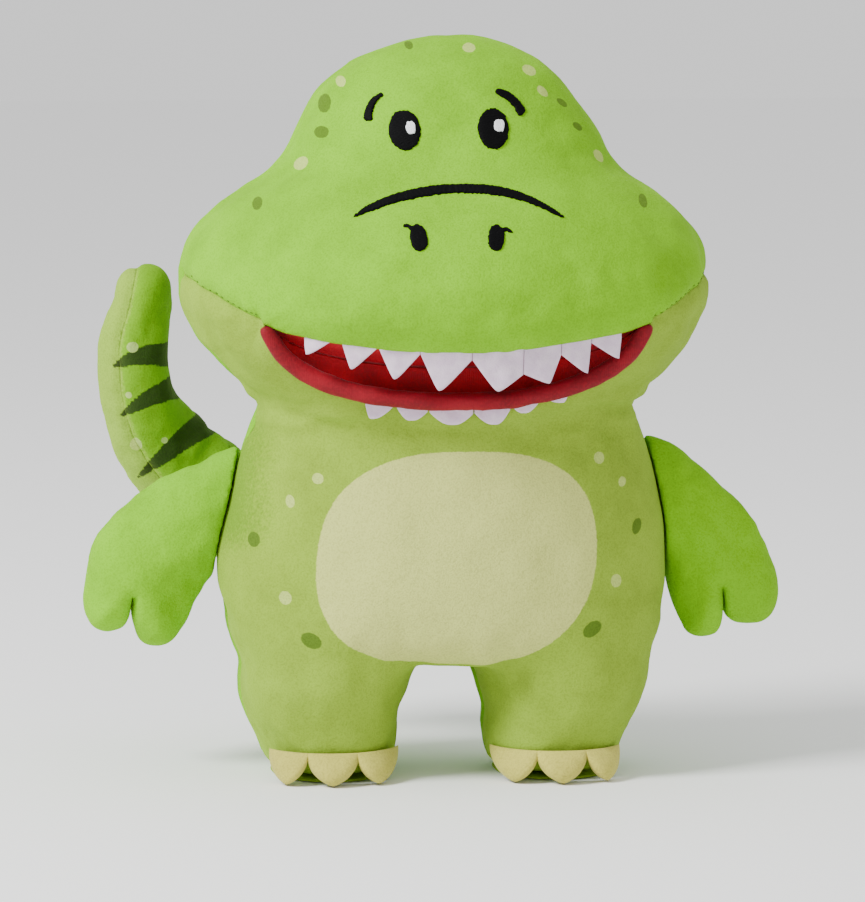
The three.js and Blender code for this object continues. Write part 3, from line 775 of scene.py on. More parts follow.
def brushed(name, colour, sheen):
    """Brushed tricot: fine ribs under a light nap."""
    g = Graph(name, 0.72, sheen=sheen, sheen_tint=(1, 0.55, 0.55, 1), sheen_roughness=0.4, specular=0.25)
    base = linear(*colour)
    dark = shade(base, 0.62)
    x, _, _ = g.split(g.rest)
    ribs = g.math("SINE", g.math("MULTIPLY", g.math("ADD", x, g.noise(6, 2)), 7.4))
    nap = g.noise(1.1, 3)
    tone = g.mix(g.ramp(g.noise(14, 2), 0.3, 0.7), dark, base)
    tone = g.mix(g.math("MULTIPLY", g.ramp(nap, 0.4, 0.7), 0.35), tone, shade(base, 1.35))
    height = g.math("ADD", g.math("MULTIPLY", ribs, 0.12), nap)
    return g.finish(tone, g.bump(height, 0.25, 0.7))


lip_fabric = brushed("lip_fabric", (152, 4, 28), 0.1)
# Painted light: the lining's red is made lighter than the fabric is, to stand in for light that the mouth's
# hollow keeps out.
lining_fabric = brushed("lining_fabric", (206, 12, 36), 0.05)


def felt_material():
    g = Graph("felt", 0.88, sheen=0.3, sheen_tint=(1, 0.95, 1, 1), specular=0.15)
    fibres = g.noise(0.6, 3, roughness=0.7)
    clouds = g.noise(4, 2)
    tone = g.mix(g.ramp(clouds, 0.3, 0.7), linear(240, 214, 238), linear(252, 230, 248))
    tone = g.mix(g.math("MULTIPLY", g.ramp(fibres, 0.5, 0.75), 0.3), tone, linear(196, 178, 200))
    return g.finish(tone, g.bump(fibres, 0.35, 0.8))


def thread_material(name, colour, shine):
    """Rayon thread: a soft shine along the stitches, and stitches that differ a little from one another."""
    g = Graph(name, shine, specular=0.07)
    strands = g.noise(0.4, 2)
    base = linear(*colour)
    tone = g.mix(g.ramp(strands, 0.35, 0.7), base, shade(base, 1.4, 0.001))
    return g.finish(tone, g.bump(strands, 0.12, 0.6), g.ramp(strands, 0.2, 0.8, shine - 0.08, shine + 0.15))


def stuffing_material():
    g = Graph("stuffing", 0.95, sheen=0.2, specular=0.1)
    fibres = g.noise(1.5, 4, roughness=0.7)
    tone = g.mix(g.ramp(fibres, 0.3, 0.7), linear(226, 224, 218), linear(248, 247, 243))
    return g.finish(tone, g.bump(fibres, 1.2, 0.9))


def ribbon_material():
    """A woven ribbon: fine threads each way."""
    g = Graph("label_ribbon", 0.6, specular=0.3)
    x, y, _ = g.split(g.rest)
    warp = g.math("SINE", g.math("MULTIPLY", x, 14.0))
    weft = g.math("SINE", g.math("MULTIPLY", y, 14.0))
    weave = g.math("MULTIPLY", warp, weft)
    tone = g.mix(g.ramp(weave, -1, 1), linear(228, 227, 222), linear(244, 243, 240))
    return g.finish(tone, g.bump(weave, 0.08, 0.8))


felt = felt_material()
black_thread = thread_material("black_thread", (3, 3, 4), 0.62)
white_thread = thread_material("white_thread", (236, 238, 240), 0.45)
seam_thread = thread_material("seam_thread", (70, 96, 34), 0.6)
stuffing = stuffing_material()
ribbon = ribbon_material()


# --- head and body panels
def upper_lip(x):
    return MOUTH["upper"] + (MOUTH["corner"] - MOUTH["upper"]) * (x / MOUTH["half"]) ** 2


def lower_lip(x):
    """A shallow bowl that turns up steeply at the corners."""
    out = np.abs(x / MOUTH["half"])
    return MOUTH["lower"] + (MOUTH["corner"] - MOUTH["lower"]) * (0.62 * out**2.5 + 0.38 * out**10)


def cheek_seam(x):
    """The seam that rises from the mouth's corner to the side."""
    out = np.abs(x) - MOUTH["half"]
    return MOUTH["corner"] + (CHEEK_SEAM - MOUTH["corner"]) * np.clip(out / CHEEK_RUN, -1, 1.3)


def mouth_gap(p):
    return np.maximum(p[:, 2] - upper_lip(p[:, 0]), lower_lip(p[:, 0]) - p[:, 2])


def front_y(x, z):
    """Where the front of the toy lies at (x, z), before it is shaped."""
    x, z = np.broadcast_arrays(np.asarray(x, float), np.asarray(z, float))
    w, f = sections(TRUNK, z, (1, 2))
    return -f * np.maximum(0, 1 - np.abs(x / w) ** ROUNDNESS) ** (1 / ROUNDNESS)


def puckers(along, away, pitch, reach, seed):
    """Small folds that run away from a seam and fade out."""
    waves = folds(along / pitch, away / (reach * 1.6), np.full_like(along, seed), seed)
    return waves * np.exp(-np.abs(away) / reach)


def shape_body(p):
    """How far each point of the body's fabric is drawn in at seams, folds and lumps."""
    x, y, z = p.T
    side = np.abs(y)
    inward = 1.9 * bell(side / 2.6) + 0.6 * bell(side / 11)
    inward += 0.45 * puckers(z, side, 6.5, 8, 3)
    front = y < 0
    out = np.abs(x) - MOUTH["half"]
    cheek = np.abs(z - cheek_seam(x)) * 0.85
    on_cheek = front * ease((out + 1) / 4)
    inward += on_cheek * (1.5 * bell(cheek / 2.0) + 0.9 * bell(cheek / 8))
    inward += on_cheek * 0.7 * puckers(out, cheek, 4.5, 6, 5)
    neck = np.abs(z - NECK_SEAM)
    inward += ~front * (1.6 * bell(neck / 2.4) + 0.8 * bell(neck / 9))
    inward += ~front * 0.7 * puckers(x, neck, 6.5, 8, 7)
    # The mouth's corners are pulled in, and small folds run out from them.
    for sign in (-1, 1):
        dx, dz = x - sign * MOUTH["half"], z - MOUTH["corner"]
        r = np.hypot(dx, dz)
        inward += front * 1.5 * bell(r / 8)
        angle = np.arctan2(dz, dx)
        inward += front * 0.45 * folds(angle * 3.1, r / 30, z * 0 + sign, 9) * bell((r - 10) / 13)
    # Creases under the jaw, where the neck folds, and at the top of the legs.
    jaw = bell((z - 150) / 9) * ease((np.abs(x) - 25) / 40)
    inward += front * 1.5 * jaw * folds(x / 22, z / 5.0, y / 40, 12)
    # Long soft folds that run down from the jaw, most on the right side.
    flank = bell((z - 138) / 15) * ease((np.abs(x) - 30) / 30) * np.where(x < 0, 1, 0.6)
    inward += front * 1.2 * flank * folds((x + 0.8 * z) / 9, (x - z) / 50, y / 60, 13)
    hip = bell((z - 52) / 14) * bell((np.abs(x) - 20) / 28)
    inward += 0.8 * hip * folds(x / 8, z / 16, y / 30, 14)
    # Lumps of stuffing.
    inward += 0.9 * noise(p, 34, 1) + 0.35 * noise(p, 13, 2)
    # The feet's edge draws in to the sole.
    inward += 0.6 * bell(z / 5) * folds(x / 5, y / 5, z / 30, 16)
    return inward


LIP_TURN = 4.2  # how far the fabric's edge is turned in at the upper lip


def roll_lips(p):
    """Turns the fabric's edge inwards at the mouth."""
    x, y, z = p.T
    front = (y < -25) & (np.abs(x) < MOUTH["half"] + 3)
    fade = ease((MOUTH["half"] + 1 - np.abs(x)) / 12)
    above = np.clip(1 - (z - upper_lip(x)) / 9, 0, 1) * (z >= upper_lip(x) - 0.5)
    below = np.clip(1 - (lower_lip(x) - z) / 5.5, 0, 1) * (z <= lower_lip(x) + 0.5)
    move_y = front * fade * (LIP_TURN * above**1.8 + 2.6 * below**2)
    move_z = front * fade * (-1.6 * above**1.5 * (1 - above * 0.4))
    return np.stack([0 * x, move_y, move_z], axis=1)


BODY_LOW, BODY_HIGH = (-116, -100, -6), (116, 70, 306)
points, quads = surface(body_field, BODY_LOW, BODY_HIGH, 1.8)
body = to_bmesh(points, quads)
relax(body, 2)
cut(body, lambda p: p[:, 1])
for edge in (upper_lip, lower_lip):
    cut(body, lambda p: p[:, 2] - edge(p[:, 0]), lambda p: (p[:, 1] < -20) & (np.abs(p[:, 0]) < 78.5))
cut(body, lambda p: p[:, 2] - cheek_seam(p[:, 0]), lambda p: (p[:, 1] < 1e-3) & (np.abs(p[:, 0]) > 77))
cut(body, lambda p: p[:, 2] - NECK_SEAM, lambda p: p[:, 1] > -1e-3)


def body_kind(p):
    x, y, z = p.T
    inside = (mouth_gap(p) < 0) & (y < -20) & (np.abs(x) < MOUTH["half"] + 1)
    above = z > np.where(np.abs(x) < MOUTH["half"], (upper_lip(x) + lower_lip(x)) / 2, cheek_seam(x))
    front = np.where(inside, "mouth", np.where(above, "face", "front"))
    back = np.where(z > NECK_SEAM, "head_back", "back")
    return np.where(y < 0, front, back)


def near_body_seam(p):
    x, y, z = p.T
    return (np.abs(y) < 3.2) | (z < 5) | ((y > 0) & (np.abs(z - NECK_SEAM) < 3)) | (
        (y < 0) & (np.abs(mouth_gap(p)) < 3) & (np.abs(x) < 84)) | (
        (y < 0) & (np.abs(x) > 76) & (np.abs(z - cheek_seam(x)) < 3))


body_rest = coordinates(body)
body_swell = swell(body_field, BODY_LOW, BODY_HIGH, near_body_seam, step=5.5)(body_rest)
body_normal = normals(body)
edge_fade = ease((body_rest[:, 2] - 2) / 6)[:, None]
shift = -body_normal * shape_body(body_rest)[:, None] * edge_fade
# The air inside swells the fabric least at the mouth and where the arms and tail are sewn on.
near_mouth = (body_rest[:, 1] < 0) & (np.abs(body_rest[:, 0]) < 88)
free = np.where(near_mouth, ease((np.abs(mouth_gap(body_rest)) - 2) / 14), 1)
height = body_rest[:, 2]
at_arm = ease((np.abs(body_rest[:, 0]) - 72) / 9) * ease((height - 68) / 10) * ease((144 - height) / 10)
shift *= (1 - 0.85 * at_arm)[:, None]
free *= 1 - at_arm
free *= ease((np.linalg.norm(body_rest - TAIL_ROOT, axis=1) - 26) / 12)
shift *= ease((np.linalg.norm(body_rest - TAIL_ROOT, axis=1) - 24) / 6)[:, None]
shift += body_normal * (0.55 * free * np.clip(body_swell, -3, 3))[:, None] * edge_fade
shift += roll_lips(body_rest)
move(body, shift)
parts = split_pieces(body, body_rest, body_kind)

NECK = ("torso", "head", (0, 0, 0.145), (0, 0, 0.187))
CHEEK_NODES = ("right_cheek_panel", "left_cheek_panel")
PANELS = (
    ("face", "face", face_plush, "head", "bright_plush", "face_panel"),
    ("front", "body_front", body_plush, NECK, "pale_plush", "body_front_panel", *CHEEK_NODES),
    ("head_back", "head_back", bright_plush, NECK, "bright_plush", "head_back_panel"),
    ("back", "body_back", bright_plush, NECK, "bright_plush", "body_back_panel"),
)
for kind, name, material, place, slot, *nodes in PANELS:
    pts, fcs, origin, _ = parts[kind]
    made = piece(f"{name}_fabric", pts, fcs, material, origin)
    thicken(made)
    register(made, place, slot, *nodes, fill=0.85)
face_tree, front_tree, back_tree = [BVHTree.FromPolygons(parts[kind][0].tolist(), parts[kind][1])
                                    for kind in ("face", "front", "back")]


def touch(tree, x, z, direction=1):
    """The point and outward direction of the fabric at (x, z), met from the front, or from behind with -1."""
    hit, normal, _, _ = tree.ray_cast(Vector((x, -300 * direction, z)), Vector((0, direction, 0)))
    if hit is None:
        hit, normal, _, _ = tree.find_nearest(Vector((x, float(front_y(x, z)) * direction, z)))
    if normal.y * direction > 0:
        normal = -normal
    return np.array(hit), np.array(normal)


# --- mouth
def lip_depths(tree, lip, above):
    """How far back the mouth's fabric edge lies along the mouth, evened out."""
    met = [touch(tree, x, float(lip(x)) + above)[0][1] for x in LIP_STEPS]
    return np.convolve(np.pad(met, 3, mode="edge"), np.hanning(9)[1:-1] / np.hanning(9).sum(), mode="valid")


LIP_STEPS = np.linspace(-78, 78, 79)
LIP_DEPTHS = (lip_depths(front_tree, lower_lip, -0.9), lip_depths(face_tree, upper_lip, 0.9))


def lip_edge(x, upper):
    """Where the turned-in edge of the mouth's fabric lies."""
    z = float(upper_lip(x)) if upper else float(lower_lip(x))
    return np.array([x, float(np.interp(x, LIP_STEPS, LIP_DEPTHS[upper])) + 0.6, z - (0.6 if upper else 0)])


COLUMNS, ROWS = 61, 13
mouth_x = np.linspace(-1, 1, COLUMNS)
mouth_x = np.sign(mouth_x) * np.abs(mouth_x) ** 0.9 * (MOUTH["half"] - 0.9)
roof, floor = [], []
for x in mouth_x:
    top, low = lip_edge(x, True), lip_edge(x, False)
    share = 1 - (abs(x) / MOUTH["half"]) ** 2
    back_off = 4.4 - 1.4 * (1 - share) ** 2
    top = top + np.array([0, back_off, 0.8 * share])
    low = low + np.array([0, back_off, -0.5 * share])
    fold = np.array([x * 0.97, top[1] + 6 + 20 * share, (top[2] * 0.62 + low[2] * 0.38)])
    for curve, first, bulge in ((roof, top, (0, 3, 2.2 * share)), (floor, low, (0, 1, 6.5 * share))):
        middle = (first + fold) / 2 + np.array(bulge)
        row = []
        for t in np.linspace(0, 1, ROWS):
            row.append((1 - t) ** 2 * first + 2 * t * (1 - t) * middle + t * t * fold)
        curve.append(row)
roof, floor = np.array(roof).transpose(1, 0, 2), np.array(floor).transpose(1, 0, 2)
for sheet_points, seed in ((roof, 21), (floor, 22)):
    flat = sheet_points.reshape(-1, 3)
    ripple = 0.7 * noise(flat * np.array([1, 0.4, 0.4]), 7, seed)
    edge = np.minimum(1, np.minimum(np.arange(ROWS), np.arange(ROWS)[::-1]) / 3).repeat(COLUMNS)
    flat[:, 2] += ripple * edge
for name, grid, lift in (("mouth_roof", roof, 1.0), ("mouth_floor", floor, -1.0)):
    other = grid + np.array([0, 0.3, lift])
    pts, fcs = slab(grid, other) if lift < 0 else slab(other, grid)
    register(piece(f"{name}_fabric", pts, fcs, lining_fabric), NECK, "mouth_fabric", f"{name}_lining")

# The lower lip is a fat soft roll of red fabric along the bottom of the mouth.
LIP_HALF = 76.8
LIP_END = 2.6  # how long its rounded ends are
rings = []
for t in np.linspace(-1, 1, 121):
    x = LIP_HALF * np.sin(t * math.pi / 2) if abs(t) < 1 else LIP_HALF * t
    taper = max(0.0, 1 - abs(x / LIP_HALF) ** 9) ** 0.5
    end = max(0.0, (abs(x) - LIP_HALF + LIP_END) / LIP_END)
    radius = (2.3 + 1.3 * taper) * math.sqrt(max(1 - end * end, 0.03))
    z = float(lower_lip(x)) + radius * 0.72 + 1.2 * float(ease((abs(x) - 68) / 8))
    y = float(front_y(x, float(lower_lip(x)) + radius)) + 1.9
    ahead = np.array([1.0, (float(front_y(x + 1, z)) - float(front_y(x - 1, z))) / 2,
                      (float(lower_lip(x + 1)) - float(lower_lip(x - 1))) / 2])
    ahead[1] = np.clip(ahead[1], -3, 3)
    ahead /= np.linalg.norm(ahead)
    out = np.cross(ahead, [0, 0, 1.0])
    out /= np.linalg.norm(out)
    up = np.cross(out, ahead)
    ring = []
    for a in np.linspace(0, 2 * math.pi, 28, endpoint=False):
        swellings = 1 + 0.05 * noise(np.array([[x / 9, math.cos(a), math.sin(a)]]), 1.0, 31)[0]
        swellings += 0.035 * noise(np.array([[x / 3.2, math.cos(a) * 2, math.sin(a) * 2]]), 1.0, 32)[0]
        ring.append(np.array([x, y, z]) + radius * swellings * (out * math.cos(a) * 1.05 + up * math.sin(a)))
    rings.append(ring)
pts, fcs = ring_mesh(rings[::-1])
register(piece("lower_lip_fabric", pts, fcs, lip_fabric), NECK, "mouth_fabric", "lower_lip_roll", fill=0.9)


# --- teeth
FELT_HALF = 0.75  # half of the felt's thickness


def felt_tooth(name, left, tip, right, top, y_of, roundness, seed, node, body_name):
    """A felt tooth whose lower edge runs from left to its tip and up to right, each (x, z)."""
    columns, rows = 33, 13
    grids = np.empty((2, rows, columns, 3))
    share = np.clip((tip[0] - left[0]) / (right[0] - left[0]), 0.03, 0.97)
    for c, u in enumerate(np.linspace(-1, 1, columns)):
        away = abs(u) ** 1.35
        x = left[0] + (right[0] - left[0]) * (share * (1 - away) if u < 0 else share + (1 - share) * away)
        notch = left[1] if u < 0 else right[1]
        rise = (math.sqrt(away ** (2 * roundness) + 0.02) - 0.1414) / (math.sqrt(1.02) - 0.1414)
        low = tip[1] + (notch - tip[1]) * rise
        high = top(x)
        root_y = y_of(x)
        for r, t in enumerate(np.linspace(0, 1, rows)):
            z = high + (low - high) * t
            hang = max(high - z, 0)
            y = root_y + 0.12 * hang + 0.35 * float(noise(np.array([[x, z, seed]]), 5.0, 40)[0])
            edge = 1 - 0.4 * t**10
            grids[0][r, c] = (x, y - FELT_HALF * edge, z)
            grids[1][r, c] = (x, y + FELT_HALF * edge, z)
    pts, fcs = slab(grids[1], grids[0])
    register(piece(name, pts, fcs, felt), body_name, "felt", node)


# Upper teeth: where the lower edge starts, the tip, and where it ends. The broad ones share a strip of felt.
UPPER = [
    ((-60.6, 180.0), (-60.0, 176.4), (-48.0, 183.4)), ((-46.8, 183.0), (-42.6, 171.0), (-32.2, 179.8)),
    ((-32.0, 179.6), (-25.8, 167.2), (-15.8, 177.2)), ((-15.6, 177.0), (-8.2, 162.6), (4.6, 174.8)),
    ((4.8, 174.6), (15.0, 162.2), (25.0, 168.6)), ((25.2, 168.8), (35.6, 164.8), (40.2, 176.0)),
    ((40.4, 176.0), (51.2, 168.4), (52.4, 180.0)), ((52.6, 180.4), (64.0, 173.8), (64.8, 181.0)),
]
for i, (left, tip, right) in enumerate(UPPER):
    felt_tooth(f"upper_tooth_felt_{i + 1}", left, tip, right, lambda x: float(upper_lip(x)) + 1.6,
               lambda x: float(lip_edge(x, True)[1]) + 2.4, 1.0, i, f"upper_tooth_{i + 1}", "head")
LOWER = [
    ((-35.8, 155.0), (-33.6, 149.6), (-25.2, 154.0)), ((-23.4, 154.0), (-17.8, 148.8), (-11.2, 152.4)),
    ((-10.4, 152.0), (-1.4, 147.2), (6.7, 151.6)), ((7.3, 151.8), (15.4, 147.2), (21.4, 153.0)),
    ((22.5, 154.0), (27.0, 151.6), (34.0, 157.2)), ((34.8, 157.6), (42.6, 155.4), (45.4, 160.4)),
]
for i, (left, tip, right) in enumerate(LOWER):
    felt_tooth(f"lower_tooth_felt_{i + 1}", left, tip, right, lambda x: float(lower_lip(x)) + 1.2,
               lambda x: float(lip_edge(x, False)[1]) - 1.9, 1.7, 20 + i, f"lower_tooth_{i + 1}", "torso")


# --- embroidery
STITCH_PITCH = 0.85  # from one thread to the next


def satin(name, node, outline, columns, rows, height, material, stitch_deg, lift, seed):
    """Satin stitch over the face. outline takes (u, v) from -1 to 1 to a place (x, z) on the front view."""
    grids = np.empty((2, rows, columns, 3))
    c, s = math.cos(math.radians(stitch_deg)), math.sin(math.radians(stitch_deg))
    for r, v in enumerate(np.linspace(-1, 1, rows)):
        for k, u in enumerate(np.linspace(-1, 1, columns)):
            x, z = outline(u, v)
            uneven = noise(np.array([[x, z, seed], [x, z, seed + 7]]), 0.8, 51)
            ragged = 0.22 * max(abs(u), abs(v)) ** 4 * uneven
            x += float(ragged[0])
            z += float(ragged[1])
            hit, normal = touch(face_tree, x, z)
            rim = 1 - max(abs(u), abs(v)) ** 5
            across = x * c + z * s
            jitter = 0.35 * float(noise(np.array([[x, z, seed]]), 1.4, 50)[0])
            ridge = math.cos(2 * math.pi * (across + jitter) / STITCH_PITCH)
            top = lift + height * (0.35 + 0.65 * max(rim, 0) ** 0.5) + 0.1 * ridge
            if rim <= 1e-6:
                top = -0.1
            grids[0][r, k] = hit + normal * top
            grids[1][r, k] = hit - normal * 0.5
    pts, fcs = slab(grids[0], grids[1])
    slot = "white_thread" if material == white_thread else "black_thread"
    register(piece(name, pts, fcs, material), "head", slot, *([node] if node else []))


def oval(cx, cz, a, b, tilt=0.0):
    c, s = math.cos(math.radians(tilt)), math.sin(math.radians(tilt))

    def at(u, v):
        x = a * u * math.sqrt(1 - v * v / 2)
        z = b * v * math.sqrt(1 - u * u / 2)
        return cx + x * c - z * s, cz + x * s + z * c

    return at


def stroke(points, widths):
    """A stroke along a smooth line through points, with a half width at each."""
    line = open_curve([(*p, w) for p, w in zip(points, widths)], 12)

    def at(u, v):
        place = (u + 1) / 2 * (len(line) - 1)
        i = min(int(place), len(line) - 2)
        here = line[i] + (line[i + 1] - line[i]) * (place - i)
        ahead = line[min(i + 2, len(line) - 1)] - line[max(i - 1, 0)]
        ahead = ahead[:2] / np.hypot(*ahead[:2])
        end = max(0.0, (abs(u) - 0.86) / 0.14)
        half = max(here[2] * math.sqrt(max(1 - end * end, 0.02)), 0.2)
        return here[0] - ahead[1] * half * v, here[1] + ahead[0] * half * v

    return at


FROWN = [(-41.4, 230.4), (-34, 234.0), (-23, 237.8), (-10, 240.4), (3, 241.2), (16, 240.2), (27, 237.2),
         (36, 233.0), (41.6, 229.8)]
# Name, node, outline, columns and rows of the mesh, height, thread, direction of the stitches, lift.
EMBROIDERY = (
    ("right_eye_stitches", "right_eye", oval(-19.6, 263.3, 6.3, 7.8), 56, 66, 1.0, black_thread, 90, 0.0),
    ("left_eye_stitches", "left_eye", oval(15.5, 263.9, 6.2, 7.9), 56, 66, 1.0, black_thread, 90, 0.0),
    ("right_eye_glint_stitches", "right_eye_glint", oval(-17.0, 264.0, 2.0, 2.6),
     18, 20, 0.7, white_thread, 30, 0.9),
    ("left_eye_glint_stitches", "left_eye_glint", oval(17.6, 264.6, 2.2, 2.5),
     18, 20, 0.7, white_thread, 30, 0.9),
    ("right_brow_stitches", "right_brow",
     stroke([(-27.4, 277.4), (-30.6, 275.0), (-32.8, 271.6), (-33.8, 266.8)], [0.5, 1.1, 1.5, 1.9]),
     46, 12, 0.9, black_thread, 60, 0.0),
    ("left_brow_stitches", "left_brow",
     stroke([(17.0, 278.6), (21.4, 276.8), (25.4, 273.4), (28.0, 269.0)], [1.0, 1.5, 1.7, 1.9]),
     46, 12, 0.9, black_thread, 120, 0.0),
    ("frown_stitches", "frown_line", stroke(FROWN, [0.4, 1.2, 1.7, 1.8, 1.8, 1.7, 1.4, 0.8, 0.3]),
     190, 12, 0.95, black_thread, 0, 0.0),
    ("right_nostril_stitches", "right_nostril", oval(-16.6, 223.0, 3.5, 5.1, 8),
     30, 40, 0.9, black_thread, 80, 0.0),
    ("left_nostril_stitches", "left_nostril", oval(13.8, 222.8, 3.3, 5.0, -8),
     30, 40, 0.9, black_thread, 100, 0.0),
    ("right_nostril_flick", None, stroke([(-22.4, 227.4), (-20.6, 227.4), (-18.6, 226.2)], [0.3, 0.6, 0.9]),
     20, 8, 0.7, black_thread, 0, 0.0),
    ("left_nostril_flick", None, stroke([(16.2, 225.6), (18.2, 226.0), (20.4, 224.6)], [0.9, 0.6, 0.3]),
     20, 8, 0.7, black_thread, 0, 0.0),
)
for seed, stitched in enumerate(EMBROIDERY, 1):
    satin(*stitched, seed)


STITCH_LENGTH, STITCH_RADIUS = 1.6, 0.24


def stitches(name, places):
    """Separate hand-sewn stitches: each place is a middle, a direction and an outward direction."""
    all_points, all_faces = [], []
    for middle, ahead, out in places:
        ahead = ahead / np.linalg.norm(ahead)
        side = np.cross(ahead, out)
        side /= np.linalg.norm(side)
        rings = []
        for t in np.linspace(-1, 1, 7):
            radius = STITCH_RADIUS * math.sqrt(max(0.05, 1 - t**4))
            centre = middle + ahead * (STITCH_LENGTH / 2) * t + out * (0.35 * (1 - t * t) - 0.1)
            rings.append([centre + radius * (side * math.cos(a) + out * math.sin(a))
                          for a in np.linspace(0, 2 * math.pi, 6, endpoint=False)])
        pts, fcs = ring_mesh(rings)
        start = sum(len(q) for q in all_points)
        all_points.append(pts)
        all_faces += [[i + start for i in f] for f in fcs]
    register(piece(name, np.vstack(all_points), all_faces, seam_thread), "head", "black_thread")


for sign, name in ((-1, "right"), (1, "left")):
    places = []
    for t in np.arange(2.5, 29, 2.3):
        x = MOUTH["half"] + t
        z = float(cheek_seam(x))
        spot, normal, _, _ = face_tree.find_nearest(Vector((sign * x, float(front_y(min(x, 107), z)), z)))
        step = np.array([sign * 1.0, 0.6, (CHEEK_SEAM - MOUTH["corner"]) / CHEEK_RUN])
        normal = np.array(normal)
        ahead = step - normal * step.dot(normal)
        places.append((np.array(spot) - normal * 0.2, ahead, normal))
    stitches(f"{name}_cheek_stitches", places)


# --- feet
def squared(v):
    return math.copysign(abs(v) ** (2 / ROUNDNESS), v)


def sole_ring(middle, share, z):
    """An outline of the sole at height z, at a share of its full size."""
    ring = []
    for a in np.linspace(0, 2 * math.pi, 48, endpoint=False):
        c, s = math.cos(a), math.sin(a)
        reach = SOLE_FORWARD if s < 0 else SOLE_BACK
        ring.append([middle + SOLE_HALF * share * squared(c), reach * share * squared(s), z])
    return ring


SOLE_MIDDLE, SOLE_HALF, SOLE_FORWARD, SOLE_BACK = 45.4, 23.3, 33.4, 29.6
SOLE_EDGE = (  # share of the full size, height
    (0.25, 0.0), (0.6, 0.0), (0.9, 0.05), (1.0, 0.4), (1.02, 0.9), (1.0, 1.4), (0.85, 1.7), (0.3, 1.8),
)
CLAWS = [(27.6, 9.0, -4), (46.0, 10.4, 3), (63.2, 7.6, 14)]  # middle, half width, turn outwards
CLAW_TOP = 12.8
CLAW_REACH = 11.5

for sign, name in ((-1, "right"), (1, "left")):
    pts, fcs = ring_mesh([sole_ring(sign * SOLE_MIDDLE + FEET_SHIFT, share, z) for share, z in SOLE_EDGE])
    pts[:, 2] += 0.25 * np.clip(noise(pts, 9, 60), 0, 1) * (pts[:, 2] < 0.2)
    sole = piece(f"{name}_sole_fabric", pts, fcs, pale_plush)
    register(sole, "torso", "pale_plush", f"{name}_sole", fill=0.5)
    # Three claws are sewn side by side to the front of the foot. Each hangs to a blunt point.
    for i, (x, half, turn) in enumerate(CLAWS):
        fan = math.radians(turn)
        columns, rows = 27, 25
        grids = np.empty((2, rows, columns, 3))
        for r, t in enumerate(np.linspace(0, 1, rows)):
            z = CLAW_TOP * (1 - t) + 0.6
            width = half * max(1 - t**2.3, 0.004) ** 0.62
            for c, u in enumerate(np.linspace(-1, 1, columns)):
                px = x + width * u + 3.2 * t * math.sin(fan)
                across = min(0.97, abs(px - 45.6) / 30.5)
                forward = float(np.interp(z, LEG[::-1, 0], LEG[::-1, 3]))
                foot = -forward * (1 - across**ROUNDNESS) ** (1 / ROUNDNESS) - 0.4
                bow = math.sqrt(max(0.0, 1 - abs(u) ** 2.6)) * (0.5 + 0.5 * math.sqrt(max(0.0, 1 - t**6)))
                out = 1.0 + CLAW_REACH * (1 - (1 - t) ** 1.8) * (0.35 + 0.65 * bow)
                thick = min(out - 0.3, 1.0 + 7.0 * bow * float(ease(t / 0.12)))
                side = FEET_SHIFT + sign * (px + out * math.sin(fan) * 0.4)
                shape = np.array([side, foot - out * math.cos(fan), z])
                grids[0][r, c] = shape
                grids[1][r, c] = shape + np.array([0, thick, 0.5 * t])
        pts, fcs = slab(grids[0], grids[1])
        fcs = fcs if sign > 0 else [f[::-1] for f in fcs]
        toe = piece(f"{name}_claw_fabric_{i + 1}", pts, fcs, claw_plush)
        register(toe, "torso", "claw_plush", f"{name}_toe_{i + 1}", fill=0.8)


# --- arms
ARM_LOW, ARM_HIGH = (70, -18, 46), (152, 26, 146)
ARM_GAP = 0.5  # the arm's sewn end stands this far off the body


def near_arm_seam(p):
    return (np.abs(p[:, 1] - ARM_Y) < 2.2) | (p[:, 0] < 96)


def arm_beside_body(side, sign, inset=0.0, gap=ARM_GAP):
    """The arm's form, cut off where it meets the body."""
    whole = arm_field(side)

    def field(x, y, z):
        return smooth_max(whole(x, y, z) + inset, gap - body_field(sign * x, y, z), 0.8)

    return field


def shoulder(sign, name):
    """Where an arm's fabric bends."""
    start, end = [to_frame(sign * x, 0, 110) for x in (91, 111)]
    return ("torso", f"{name}_arm", start, end)


for sign, name in ((-1, "right"), (1, "left")):
    points, quads = surface(arm_beside_body(name, sign), ARM_LOW, ARM_HIGH, 1.3)
    arm_swell = swell(arm_field(name), ARM_LOW, ARM_HIGH, near_arm_seam, step=4.0)
    arm = to_bmesh(points, quads)
    relax(arm, 2)
    cut(arm, lambda p: p[:, 1] - ARM_Y)
    rest = coordinates(arm)
    x, y, z = rest.T
    off = np.abs(y - ARM_Y)
    seed = 70 + sign
    loop = closed_curve(ARM_OUTLINES[name])
    rim = np.abs(outline_depth(x, z, loop))
    angle = np.arctan2(z - 90, x - 108)
    inward = 1.5 * bell(off / 1.8) + 0.7 * bell(off / 6)
    inward += 0.4 * puckers(angle * 34, off + rim * 0.3, 6.5, 6.5, seed)
    inward += 0.7 * noise(rest, 22, seed) + 0.2 * noise(rest, 9, seed + 1)
    # Folds across the armpit and the wrist.
    inward += 1.0 * bell((x - 94) / 9) * folds(x / 14, y / 30, z / 7, seed + 2)
    loose = ease((body_field(sign * x, y, z) - ARM_GAP) / 7)
    offset = 0.6 * np.clip(arm_swell(rest), -3, 3) - inward
    move(arm, normals(arm) * (offset * loose)[:, None])
    kinds = split_pieces(arm, rest, lambda p: np.where(p[:, 1] < ARM_Y, "front", "back"))
    for kind, (pts, fcs, origin, _) in kinds.items():
        flip = np.array([sign, 1, 1])
        fcs = fcs if sign > 0 else [f[::-1] for f in fcs]
        made = piece(f"{name}_arm_{kind}_fabric", pts * flip, fcs, bright_plush, origin * flip)
        thicken(made)
        register(made, shoulder(sign, name), "bright_plush", f"{name}_arm_{kind}", fill=0.85)


